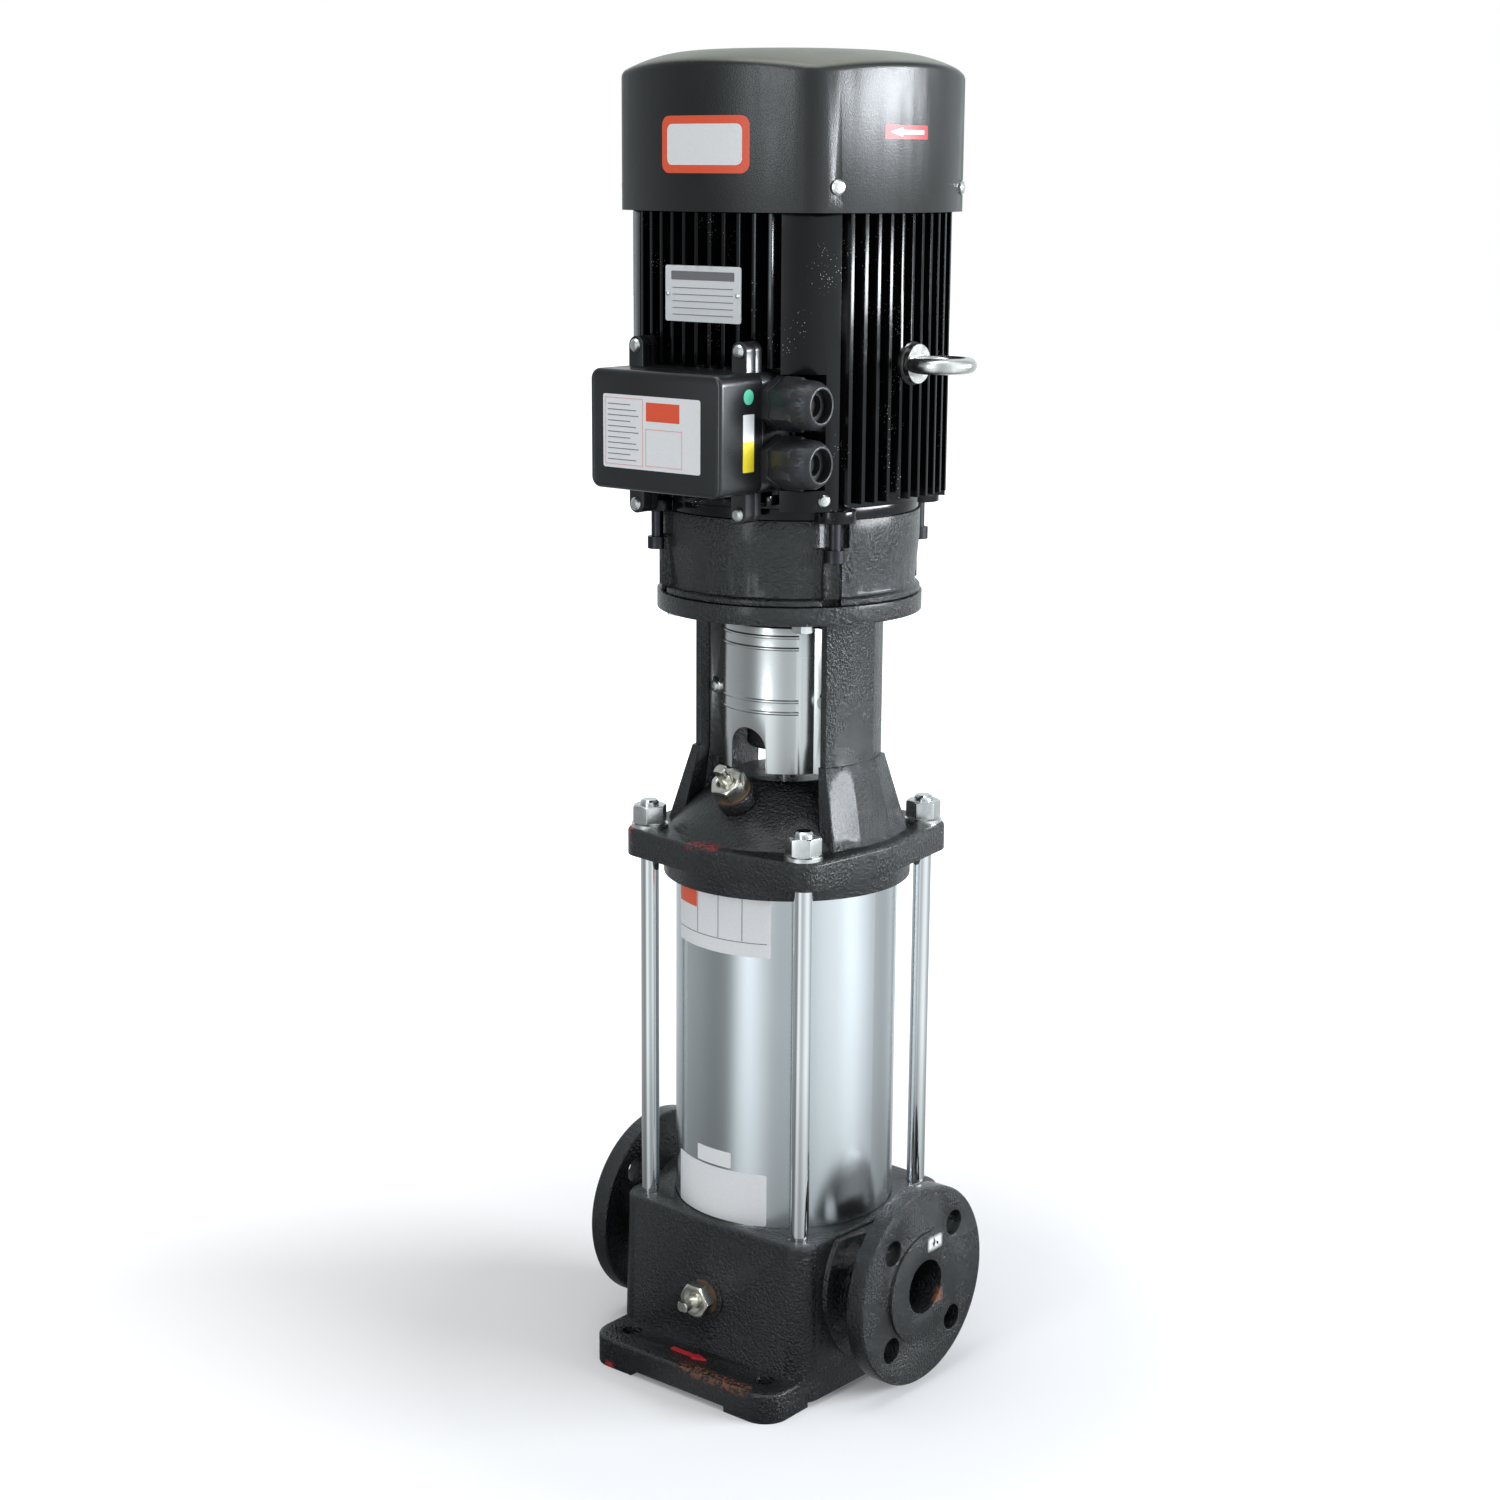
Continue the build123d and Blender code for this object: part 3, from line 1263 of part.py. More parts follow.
def stage_chamber():
    """Stage bowl from Z = 0: floor with the eye, wall, and guide vanes over a plate."""
    plate_low = impeller_lift + impeller_width + 2 * shroud + diffuser_gap
    with BuildPart() as chamber:
        tube(chamber_radius - chamber_wall, chamber_radius, 0, stage_pitch)
        tube(eye_radius + running_gap, chamber_radius, 0, chamber_wall)
        tube(hub_radius + 2, chamber_radius - 8, plate_low, plate_low + chamber_wall)
        with BuildSketch(Plane.XY.offset(plate_low + chamber_wall)) as vanes:
            for k in range(diffuser_vanes):
                turn = 360 / diffuser_vanes * k
                inner = polar(eye_radius + 4, turn)
                outer = polar(chamber_radius - chamber_wall / 2, turn + 42)
                with BuildLine():
                    Polyline(
                        inner, outer, polar(chamber_radius - chamber_wall / 2, turn + 44),
                        polar(eye_radius + 4, turn + 5), close=True,
                    )
                make_face()
        extrude(vanes.sketch, amount=stage_pitch - plate_low - chamber_wall)
    return chamber.part


def stage_impeller():
    """Closed impeller from Z = 0 at its eye: skirt, two shrouds, hub and curved vanes."""
    low = impeller_lift
    top = low + 2 * shroud + impeller_width
    with BuildPart() as impeller:
        tube(eye_radius - 2, eye_radius, 0, low + shroud)
        tube(eye_radius - 2, impeller_radius, low, low + shroud)
        tube(shaft_bore, impeller_radius, top - shroud, top)
        tube(shaft_bore, hub_radius, low + shroud, top + diffuser_gap)
        with BuildSketch(Plane.XY.offset(low + shroud / 2)) as vanes:
            for k in range(impeller_vanes):
                turn = 360 / impeller_vanes * k
                with BuildLine():
                    front = ThreePointArc(
                        polar(eye_radius, turn), polar(impeller_radius * 0.75, turn - 28),
                        polar(impeller_radius, turn - 62),
                    )
                    back = ThreePointArc(
                        polar(eye_radius, turn + 5), polar(impeller_radius * 0.75, turn - 25.4),
                        polar(impeller_radius, turn - 60),
                    )
                    Line(front @ 0, back @ 0)
                    Line(front @ 1, back @ 1)
                make_face()
        extrude(vanes.sketch, amount=impeller_width + shroud)
    return impeller.part


chamber_shape = stage_chamber()
impeller_shape = stage_impeller()
for stage in range(stage_count):
    with BuildPart() as chamber:
        with Locations((0, 0, stack_start + stage * stage_pitch)):
            add(chamber_shape)
    save(chamber, f"chamber_{stage + 1}")
    with BuildPart() as impeller:
        with Locations((0, 0, stack_start + stage * stage_pitch)):
            add(impeller_shape)
    save(impeller, f"impeller_{stage + 1}")

with BuildPart() as discharge_guide:
    tube(hub_radius + 2, chamber_radius, stack_end, stack_end + chamber_wall)
    tube(chamber_radius - chamber_wall, chamber_radius, stack_end, stack_top)
    tube(hub_radius + 2, chamber_radius, stack_top - 3, stack_top)
    for turn in range(0, 180, 60):
        with BuildSketch(Plane.XY.offset(stack_end + 5)) as window:
            Rectangle(2 * chamber_radius + 2, 36, rotation=turn)
            Circle(chamber_radius - 2 * chamber_wall, mode=Mode.SUBTRACT)
        extrude(window.sketch, amount=discharge_guide_height - 11, mode=Mode.SUBTRACT)
save(discharge_guide, "discharge_guide")

# Rotor: pump shaft with its impellers, seal head, coupling, motor shaft, rotor core and fan
hub_bottom = impeller_lift + shroud
hub_top = impeller_lift + 2 * shroud + impeller_width + diffuser_gap
with BuildPart() as pump_shaft:
    with BuildSketch(Plane.XY.offset(suction_seat + shaft_tail)):
        Circle(shaft_radius)
    extrude(amount=shaft_joint - shaft_end_gap / 2 - suction_seat - shaft_tail)
    chamfer(pump_shaft.edges(), 0.8)
save(pump_shaft, "pump_shaft")

with BuildPart() as impeller_spacers:
    for stage in range(stage_count - 1):
        low = stack_start + stage * stage_pitch
        tube(shaft_bore, hub_radius - 1, low + hub_top, low + stage_pitch + hub_bottom)
    last = stack_start + (stage_count - 1) * stage_pitch
    tube(shaft_bore, hub_radius - 1, last + hub_top, seal_seat_bottom - seal_head_height - 0.5)
save(impeller_spacers, "impeller_spacers")

with BuildPart() as seal_rotating_head:
    low = seal_seat_bottom - seal_head_height - 0.5
    high = seal_seat_bottom - 0.05
    turned([
        (shaft_bore, low), (seal_head_radius - 3, low), (seal_head_radius - 3, low + 3),
        (seal_head_radius, low + 3), (seal_head_radius, low + 12), (seal_head_radius - 2, low + 14),
        (seal_head_radius - 2, high - 3), (seal_head_radius - 3, high - 3), (seal_head_radius - 3, high),
        (shaft_bore, high),
    ])
save(seal_rotating_head, "seal_rotating_head")

coupling_screw_levels = [coupling_bottom + coupling_length * share for share in (0.2, 0.8)]
screw_seat = coupling_radius * 0.62
with BuildPart() as coupling_halves:
    tube(shaft_bore, coupling_radius, coupling_bottom, shaft_joint)
    tube(motor_shaft_radius + shaft_fit, coupling_radius, shaft_joint, coupling_top)
    chamfer(coupling_halves.edges().filter_by(GeomType.CIRCLE).sort_by(SortBy.RADIUS)[-2:], 1.5)
    with BuildSketch(Plane.XY.offset(coupling_bottom)):
        Rectangle(2 * coupling_radius + 2, coupling_split)
    extrude(amount=coupling_length, mode=Mode.SUBTRACT)
    for level in coupling_screw_levels:
        for x in (-coupling_screw_offset, coupling_screw_offset):
            with BuildSketch(Plane.XZ.offset(coupling_radius)) as bore:
                with Locations((x, level)):
                    Circle(coupling_screw_diameter / 2 + thread_fit)
            extrude(bore.sketch, amount=-2 * coupling_radius, mode=Mode.SUBTRACT)
            with BuildSketch(Plane.XZ.offset(coupling_radius)) as sink:
                with Locations((x, level)):
                    Circle(coupling_screw_head / 2 + thread_fit)
            sink_depth = coupling_radius - screw_seat + coupling_screw_diameter
            extrude(sink.sketch, amount=-sink_depth, mode=Mode.SUBTRACT)
save(coupling_halves, "coupling_halves")

coupling_screw = cap_screw(
    coupling_screw_head, coupling_screw_diameter * 0.9, coupling_screw_diameter, coupling_radius * 0.8,
)
with BuildPart() as coupling_screws:
    for level in coupling_screw_levels:
        for x in (-coupling_screw_offset, coupling_screw_offset):
            seat = Plane(
                origin=(x, -(screw_seat - coupling_screw_diameter), level), x_dir=(1, 0, 0), z_dir=(0, -1, 0),
            )
            add(seat.location * coupling_screw)
save(coupling_screws, "coupling_screws")

with BuildPart() as motor_shaft:
    seat_start = drive_bearing_bottom + bearing_width
    fan_seat = fan_bearing_bottom + bearing_width
    turned([
        (0, shaft_joint + shaft_end_gap / 2), (motor_shaft_radius - 1, shaft_joint + shaft_end_gap / 2),
        (motor_shaft_radius, shaft_joint + shaft_end_gap / 2 + 1), (motor_shaft_radius, adapter_top - 4),
        (bearing_inner, adapter_top - 4), (bearing_inner, seat_start),
        (rotor_seat_diameter / 2, seat_start), (rotor_seat_diameter / 2, fan_bearing_bottom),
        (bearing_inner, fan_bearing_bottom), (bearing_inner, fan_seat),
        (fan_seat_diameter / 2, fan_seat), (fan_seat_diameter / 2, motor_axis_end),
        (0, motor_axis_end),
    ])
save(motor_shaft, "motor_shaft")

with BuildPart() as rotor_core:
    rotor_radius = stator_bore / 2 - air_gap
    tube(rotor_seat_diameter / 2 + shaft_fit, rotor_radius, stator_bottom, stator_top)
    for low in (stator_bottom - 10, stator_top):
        tube(rotor_radius - 14, rotor_radius - 1, low, low + 10)
save(rotor_core, "rotor_core")

fan_bottom = fan_shield_top + fan_lift
with BuildPart() as cooling_fan:
    tube(fan_seat_diameter / 2 + shaft_fit, fan_hub_radius, fan_bottom - 6, fan_bottom + fan_blade_height - 6)
    tube(fan_hub_radius - 1, fan_radius, fan_bottom - 3, fan_bottom)
    with BuildSketch(Plane.XY.offset(fan_bottom - 1)) as blades:
        with PolarLocations((fan_radius + fan_hub_radius) / 2 + 3, fan_blades):
            Rectangle(fan_radius - fan_hub_radius - 6, fan_blade)
        with PolarLocations(fan_hub_radius + 2, fan_blades):
            Rectangle(10, fan_blade)
    extrude(blades.sketch, amount=fan_blade_height - 10)
save(cooling_fan, "cooling_fan")
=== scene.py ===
import json
from math import pi, radians

import bmesh
import bpy
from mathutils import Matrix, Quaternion, Vector

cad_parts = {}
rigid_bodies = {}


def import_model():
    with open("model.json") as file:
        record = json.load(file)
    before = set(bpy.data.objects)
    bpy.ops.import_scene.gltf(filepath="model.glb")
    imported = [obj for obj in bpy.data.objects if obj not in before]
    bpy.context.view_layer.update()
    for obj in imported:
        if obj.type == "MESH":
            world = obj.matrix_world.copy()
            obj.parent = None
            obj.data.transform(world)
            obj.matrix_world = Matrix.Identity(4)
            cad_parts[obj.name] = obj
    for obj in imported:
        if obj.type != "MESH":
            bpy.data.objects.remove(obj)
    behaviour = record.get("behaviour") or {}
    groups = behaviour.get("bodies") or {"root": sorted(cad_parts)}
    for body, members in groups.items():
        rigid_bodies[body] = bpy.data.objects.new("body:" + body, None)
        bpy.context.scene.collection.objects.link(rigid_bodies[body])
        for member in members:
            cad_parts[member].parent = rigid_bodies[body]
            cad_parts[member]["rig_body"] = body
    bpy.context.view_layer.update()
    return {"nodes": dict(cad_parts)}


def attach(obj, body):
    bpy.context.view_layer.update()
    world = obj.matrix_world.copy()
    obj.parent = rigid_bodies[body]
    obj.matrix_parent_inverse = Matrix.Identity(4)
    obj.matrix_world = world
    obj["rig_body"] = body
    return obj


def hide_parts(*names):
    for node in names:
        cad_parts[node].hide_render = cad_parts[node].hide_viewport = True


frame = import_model()
nodes = frame["nodes"]
mm = 0.001
print("stage: frame loaded")


# small helpers for modelling
def deselectAll():
    if bpy.context.object and bpy.context.object.mode != "OBJECT":
        bpy.ops.object.mode_set(mode="OBJECT")
    bpy.ops.object.select_all(action="DESELECT")


def activate(piece):
    deselectAll()
    piece.select_set(True)
    bpy.context.view_layer.objects.active = piece
    return piece


def applyPlace(piece):
    activate(piece)
    bpy.ops.object.transform_apply(location=True, rotation=True, scale=True)
    return piece


def applyModifier(piece, kind, **settings):
    activate(piece)
    modifier = piece.modifiers.new(kind.lower(), kind)
    for key, value in settings.items():
        setattr(modifier, key, value)
    bpy.ops.object.modifier_apply(modifier=modifier.name)
    return piece


def smoothByAngle(piece, angle=35):
    activate(piece)
    bpy.ops.object.shade_smooth_by_angle(angle=radians(angle))
    return piece


def fixNormals(piece):
    activate(piece)
    bpy.ops.object.mode_set(mode="EDIT")
    bpy.ops.mesh.select_all(action="SELECT")
    bpy.ops.mesh.remove_doubles(threshold=0.01 * mm)
    bpy.ops.mesh.normals_make_consistent(inside=False)
    bpy.ops.object.mode_set(mode="OBJECT")
    return piece


def pickOnly(piece, test, kind="faces"):
    # in edit mode: select the faces or edges that pass the test, and nothing else
    bpy.ops.mesh.select_all(action="DESELECT")
    mesh = bmesh.from_edit_mesh(piece.data)
    for part in getattr(mesh, kind):
        if test(part):
            part.select = True
    bmesh.update_edit_mesh(piece.data)


def keep(piece, name, body, material):
    piece.name = name
    piece.data.name = name
    piece.data.materials.clear()
    piece.data.materials.append(material)
    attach(piece, body)
    return piece


# materials: each finish has its own function, and they share these few steps
def startMaterial(name):
    material = bpy.data.materials.new(name)
    material.use_nodes = True
    tree = material.node_tree
    shader = tree.nodes["Principled BSDF"]
    place = tree.nodes.new("ShaderNodeTexCoord")
    return material, tree, shader, place.outputs["Object"]


def stretch(tree, vector, x=1.0, y=1.0, z=1.0):
    mapping = tree.nodes.new("ShaderNodeMapping")
    mapping.inputs["Scale"].default_value = (x, y, z)
    tree.links.new(vector, mapping.inputs["Vector"])
    return mapping.outputs["Vector"]


def noise(tree, vector, scale, detail=3.0, rough=0.5):
    texture = tree.nodes.new("ShaderNodeTexNoise")
    texture.inputs["Scale"].default_value = scale
    texture.inputs["Detail"].default_value = detail
    texture.inputs["Roughness"].default_value = rough
    tree.links.new(vector, texture.inputs["Vector"])
    return texture.outputs["Fac"]


def cells(tree, vector, scale):
    texture = tree.nodes.new("ShaderNodeTexVoronoi")
    texture.inputs["Scale"].default_value = scale
    tree.links.new(vector, texture.inputs["Vector"])
    return texture.outputs["Distance"]


def ramp(tree, value, low, high):
    # black below the low end, white above the high end
    node = tree.nodes.new("ShaderNodeValToRGB")
    node.color_ramp.elements[0].position = low
    node.color_ramp.elements[1].position = high
    tree.links.new(value, node.inputs["Fac"])
    return node.outputs["Color"]


def blendColors(tree, factor, first, second):
    node = tree.nodes.new("ShaderNodeMix")
    node.data_type = "RGBA"
    for socket, value in ((node.inputs[0], factor), (node.inputs[6], first), (node.inputs[7], second)):
        if isinstance(value, bpy.types.NodeSocket):
            tree.links.new(value, socket)
        elif isinstance(value, tuple):
            socket.default_value = (*value, 1)
        else:
            socket.default_value = value
    return node.outputs[2]


def calculate(tree, kind, first, second=0.0, clamp=False):
    node = tree.nodes.new("ShaderNodeMath")
    node.operation = kind
    node.use_clamp = clamp
    for socket, value in ((node.inputs[0], first), (node.inputs[1], second)):
        if isinstance(value, bpy.types.NodeSocket):
            tree.links.new(value, socket)
        else:
            socket.default_value = value
    return node.outputs[0]


def remap(tree, value, low, high, newLow, newHigh):
    node = tree.nodes.new("ShaderNodeMapRange")
    for name, number in (("From Min", low), ("From Max", high), ("To Min", newLow), ("To Max", newHigh)):
        node.inputs[name].default_value = number
    tree.links.new(value, node.inputs["Value"])
    return node.outputs["Result"]


def bump(tree, shader, height, strength, distance, below=None):
    node = tree.nodes.new("ShaderNodeBump")
    node.inputs["Strength"].default_value = strength
    node.inputs["Distance"].default_value = distance
    tree.links.new(height, node.inputs["Height"])
    if below:
        tree.links.new(below, node.inputs["Normal"])
    tree.links.new(node.outputs["Normal"], shader.inputs["Normal"])
    return node.outputs["Normal"]


def zone(tree, vector, low, high, soft):
    # 1 inside a box of the object's own space, fading out over its soft edge
    split = tree.nodes.new("ShaderNodeSeparateXYZ")
    tree.links.new(vector, split.inputs[0])
    inside = None
    for axis in range(3):
        for edge, side in ((low[axis], 1), (high[axis], -1)):
            step = remap(tree, split.outputs[axis], edge - side * soft, edge + side * soft, 0, 1)
            inside = step if inside is None else calculate(tree, "MULTIPLY", inside, step)
    return inside


castingLook = {
    "color": (0.0036, 0.0042, 0.0052), "worn": (0.0075, 0.0074, 0.0070), "patches": 24,
    "grain": 520, "fine": 1700, "depth": 0.0021, "rough": (0.22, 0.33),
    "coat": 0.25, "coatRough": 0.18, "markEdge": 0.0015, "markRough": 0.3,
}


def castingEnamel(name, marks=(), look=castingLook):
    # orange-peel enamel over sand-cast iron; a mark is a spot of rust, paint or primer between two corners
    material, tree, shader, place = startMaterial(name)
    patches = noise(tree, place, look["patches"], 5)
    grain = noise(tree, place, look["grain"], 2, 0.55)
    fine = noise(tree, place, look["fine"], 2)
    color = blendColors(tree, ramp(tree, patches, 0.45, 0.75), look["color"], look["worn"])
    rough = remap(tree, patches, 0.3, 0.7, *look["rough"])
    for low, high, tint, share, size in marks:
        torn = ramp(tree, noise(tree, place, size, 5, 0.6), 0.58 - share * 0.3, 0.62 - share * 0.3)
        spot = calculate(tree, "MULTIPLY", torn, zone(tree, place, low, high, look["markEdge"]), True)
        color = blendColors(tree, spot, color, tint)
        rough = calculate(tree, "ADD", rough, calculate(tree, "MULTIPLY", spot, look["markRough"]), True)
    tree.links.new(color, shader.inputs["Base Color"])
    tree.links.new(rough, shader.inputs["Roughness"])
    shader.inputs["Coat Weight"].default_value = look["coat"]
    shader.inputs["Coat Roughness"].default_value = look["coatRough"]
    coarse = bump(tree, shader, grain, 0.8, look["depth"])
    bump(tree, shader, fine, 0.35, look["depth"] * 0.35, coarse)
    return material


# low corner, high corner, colour, share of the zone that is marked, and how finely it is torn
baseMarks = (
    ((0.000, -0.1185, 0.0165), (0.062, -0.1085, 0.0235), (0.15, 0.045, 0.015), 0.28, 330),
    ((-0.066, -0.1185, -0.001), (-0.059, -0.1135, 0.004), (0.35, 0.012, 0.012), 0.9, 200),
    ((0.1235, 0.003, 0.1000), (0.1262, 0.018, 0.1085), (0.78, 0.78, 0.77), 0.62, 160),
    ((0.1215, 0.012, 0.0585), (0.1255, 0.0205, 0.068), (0.20, 0.07, 0.03), 0.5, 300),
)
headMarks = (
    ((-0.017, -0.0885, 0.3800), (0.0085, -0.0800, 0.3840), (0.42, 0.02, 0.02), 0.42, 260),
    ((-0.090, -0.0890, 0.372), (-0.070, -0.070, 0.3840), (0.38, 0.02, 0.02), 0.2, 200),
)
motorLook = {
    "color": (0.0022, 0.0023, 0.0028), "dustAndSheen": (0.45, 0.46, 0.46), "speck": 520, "speckSize": 0.16,
    "rough": (0.12, 0.24), "speckRough": 0.4, "specular": 0.32,
}


def motorEnamel(name, look=motorLook):
    material, tree, shader, place = startMaterial(name)
    spots = cells(tree, place, look["speck"])
    scatter = ramp(tree, noise(tree, place, 32, 3), 0.55, 0.68)
    specks = calculate(tree, "MULTIPLY", calculate(tree, "LESS_THAN", spots, look["speckSize"]), scatter)
    color = blendColors(tree, specks, look["color"], look["dustAndSheen"])
    tree.links.new(color, shader.inputs["Base Color"])
    film = remap(tree, noise(tree, place, 60, 4), 0.3, 0.75, *look["rough"])
    rough = calculate(tree, "ADD", film, calculate(tree, "MULTIPLY", specks, look["speckRough"]), True)
    tree.links.new(rough, shader.inputs["Roughness"])
    shader.inputs["Specular IOR Level"].default_value = look["specular"]
    bump(tree, shader, noise(tree, place, 260, 2), 0.2, 0.0001)
    return material


# the cover's lighter colour is a painted sheen of the light from above, given to the faces that point up
coverLook = {
    "color": (0.0050, 0.0048, 0.0048), "dustAndSheen": (0.17, 0.175, 0.135), "crown": (0.50, 0.80),
    "rough": (0.29, 0.34), "specular": 0.6, "leather": 1100, "fine": 2600,
}


def coverEnamel(name, look=coverLook):
    # satin powder coat with a leather grain; what faces up is painted lighter, a painted sheen of the light
    # from above
    material, tree, shader, place = startMaterial(name)
    facing = tree.nodes.new("ShaderNodeNewGeometry")
    split = tree.nodes.new("ShaderNodeSeparateXYZ")
    tree.links.new(facing.outputs["Normal"], split.inputs[0])
    # painted sheen: lighter where the normal points up, in cloudy patches
    crown = remap(tree, split.outputs[2], *look["crown"], 0, 1)
    clouds = remap(tree, noise(tree, place, 40, 5), 0.3, 0.7, 0.75, 1.0)
    dustAndSheen = calculate(tree, "MULTIPLY", crown, clouds, True)
    color = blendColors(tree, dustAndSheen, look["color"], look["dustAndSheen"])
    tree.links.new(color, shader.inputs["Base Color"])
    rough = remap(tree, noise(tree, place, 45, 4), 0.3, 0.7, *look["rough"])
    tree.links.new(rough, shader.inputs["Roughness"])
    shader.inputs["Specular IOR Level"].default_value = look["specular"]
    leather = bump(tree, shader, noise(tree, place, look["leather"], 1, 0.5), 0.5, 0.0002)
    bump(tree, shader, noise(tree, place, look["fine"], 1), 0.3, 0.0001, leather)
    return material


boxLook = {
    "color": (0.009, 0.0095, 0.011), "rough": (0.27, 0.36), "coat": 0.3, "coatRough": 0.15, "grain": 1400,
}


def boxEnamel(name, look=boxLook):
    material, tree, shader, place = startMaterial(name)
    shader.inputs["Base Color"].default_value = (*look["color"], 1)
    rough = remap(tree, noise(tree, place, 35, 4), 0.3, 0.7, *look["rough"])
    tree.links.new(rough, shader.inputs["Roughness"])
    shader.inputs["Coat Weight"].default_value = look["coat"]
    shader.inputs["Coat Roughness"].default_value = look["coatRough"]
    bump(tree, shader, noise(tree, place, look["grain"], 2), 0.2, 0.0001)
    return material


def brushedSteel(name, color, rough, lines=(6, 6, 2600), strength=0.12, streak=0.0):
    material, tree, shader, place = startMaterial(name)
    brushing = noise(tree, stretch(tree, place, *lines), 1.0, 3)
    clouds = noise(tree, place, 9, 3)
    tint = blendColors(tree, ramp(tree, clouds, 0.35, 0.75), color, tuple(c * 0.94 for c in color))
    tree.links.new(tint, shader.inputs["Base Color"])
    shader.inputs["Metallic"].default_value = 1
    tree.links.new(remap(tree, clouds, 0.3, 0.7, *rough), shader.inputs["Roughness"])
    if streak:
        # turned sheet spreads its reflections along the axis
        shader.inputs["Anisotropic"].default_value = streak
        shader.inputs["Anisotropic Rotation"].default_value = 0.25
        tangent = tree.nodes.new("ShaderNodeTangent")
        tangent.direction_type = "RADIAL"
        tangent.axis = "Z"
        tree.links.new(tangent.outputs[0], shader.inputs["Tangent"])
    bump(tree, shader, brushing, strength, 0.00005)
    return material


def polishedSteel(name, color, rough):
    material, tree, shader, place = startMaterial(name)
    smudges = noise(tree, place, 70, 5)
    shader.inputs["Base Color"].default_value = (*color, 1)
    shader.inputs["Metallic"].default_value = 1
    tree.links.new(remap(tree, smudges, 0.35, 0.7, *rough), shader.inputs["Roughness"])
    bump(tree, shader, smudges, 0.08, 0.0002)
    return material


def machinedMetal(name, color, rough=(0.2, 0.34), grain=500):
    material, tree, shader, place = startMaterial(name)
    wear = noise(tree, place, 160, 4)
    tint = blendColors(tree, ramp(tree, wear, 0.4, 0.75), color, tuple(c * 0.72 for c in color))
    tree.links.new(tint, shader.inputs["Base Color"])
    shader.inputs["Metallic"].default_value = 1
    tree.links.new(remap(tree, wear, 0.3, 0.7, *rough), shader.inputs["Roughness"])
    bump(tree, shader, noise(tree, place, grain, 3), 0.2, 0.0001)
    return material


def mouldedPlastic(name, color, rough=(0.34, 0.5), grain=1800):
    material, tree, shader, place = startMaterial(name)
    shade = noise(tree, place, 90, 3)
    tint = blendColors(tree, ramp(tree, shade, 0.3, 0.8), color, tuple(c * 1.35 for c in color))
    tree.links.new(tint, shader.inputs["Base Color"])
    tree.links.new(remap(tree, shade, 0.3, 0.7, *rough), shader.inputs["Roughness"])
    bump(tree, shader, noise(tree, place, grain, 2), 0.3, 0.00012)
    return material


def printedPaper(name, color, rough=0.38):
    material, tree, shader, place = startMaterial(name)
    fibres = noise(tree, place, 700, 4)
    tint = blendColors(tree, ramp(tree, fibres, 0.25, 0.8), tuple(c * 0.93 for c in color), color)
    tree.links.new(tint, shader.inputs["Base Color"])
    shader.inputs["Roughness"].default_value = rough
    bump(tree, shader, noise(tree, place, 60, 3), 0.15, 0.0003)
    return material


casting = castingEnamel("castingEnamel")
baseCasting = castingEnamel("baseCasting", baseMarks)
headCasting = castingEnamel("headCasting", headMarks)
motorPaint = motorEnamel("motorEnamel")
coverPaint = coverEnamel("coverEnamel")
boxPaint = boxEnamel("boxEnamel")
# the sleeve's steel has a painted blue tint, standing in for the cool light it reflects
sleeveSteel = brushedSteel("sleeveSteel", (0.66, 0.69, 0.71), (0.20, 0.25), (6, 6, 2600), 0.08, 0.75)
guardSteel = brushedSteel("guardSteel", (0.66, 0.665, 0.66), (0.24, 0.30), (6, 6, 1800), 0.1, 0.6)
pressedSteel = brushedSteel("pressedSteel", (0.60, 0.60, 0.59), (0.26, 0.36))
rodChrome = polishedSteel("rodChrome", (0.72, 0.73, 0.735), (0.06, 0.12))
brightZinc = machinedMetal("brightZinc", (0.74, 0.74, 0.73))
eyeZinc = machinedMetal("eyeZinc", (0.78, 0.77, 0.74), (0.14, 0.30), 260)
nickelBrass = machinedMetal("nickelBrass", (0.80, 0.775, 0.70), (0.16, 0.24), 900)
blackBolt = machinedMetal("blackBolt", (0.05, 0.05, 0.055), (0.3, 0.45))
groundSteel = machinedMetal("groundSteel", (0.62, 0.62, 0.62), (0.18, 0.3))
sheetCore = brushedSteel("sheetCore", (0.34, 0.34, 0.35), (0.35, 0.5), (4, 4, 1600), 0.5)
copperWire = machinedMetal("copperWire", (0.62, 0.27, 0.12), (0.25, 0.4), 900)
glandPlastic = mouldedPlastic("glandPlastic", (0.018, 0.019, 0.021), (0.3, 0.42))
fanPlastic = mouldedPlastic("fanPlastic", (0.02, 0.02, 0.02))
blackRubber = mouldedPlastic("blackRubber", (0.012, 0.012, 0.012), (0.5, 0.7), 900)
fibreGasket = mouldedPlastic("fibreGasket", (0.10, 0.055, 0.03), (0.45, 0.65), 900)
sealCarbon = mouldedPlastic("sealCarbon", (0.03, 0.03, 0.034), (0.25, 0.4), 700)
blockResin = mouldedPlastic("blockResin", (0.42, 0.40, 0.34), (0.35, 0.5), 600)
plateSilver = printedPaper("plateSilver", (0.74, 0.76, 0.77), 0.45)
labelWhite = printedPaper("labelWhite", (0.80, 0.81, 0.82))
labelOrange = printedPaper("labelOrange", (0.80, 0.095, 0.035))
labelRed = printedPaper("labelRed", (0.66, 0.02, 0.025))
labelPink = printedPaper("labelPink", (0.78, 0.42, 0.38))
labelGrey = printedPaper("labelGrey", (0.18, 0.18, 0.19))
labelYellow = printedPaper("labelYellow", (0.82, 0.66, 0.02))
labelGreen = printedPaper("labelGreen", (0.10, 0.62, 0.38))
paintRed = printedPaper("paintRed", (0.55, 0.02, 0.03), 0.45)

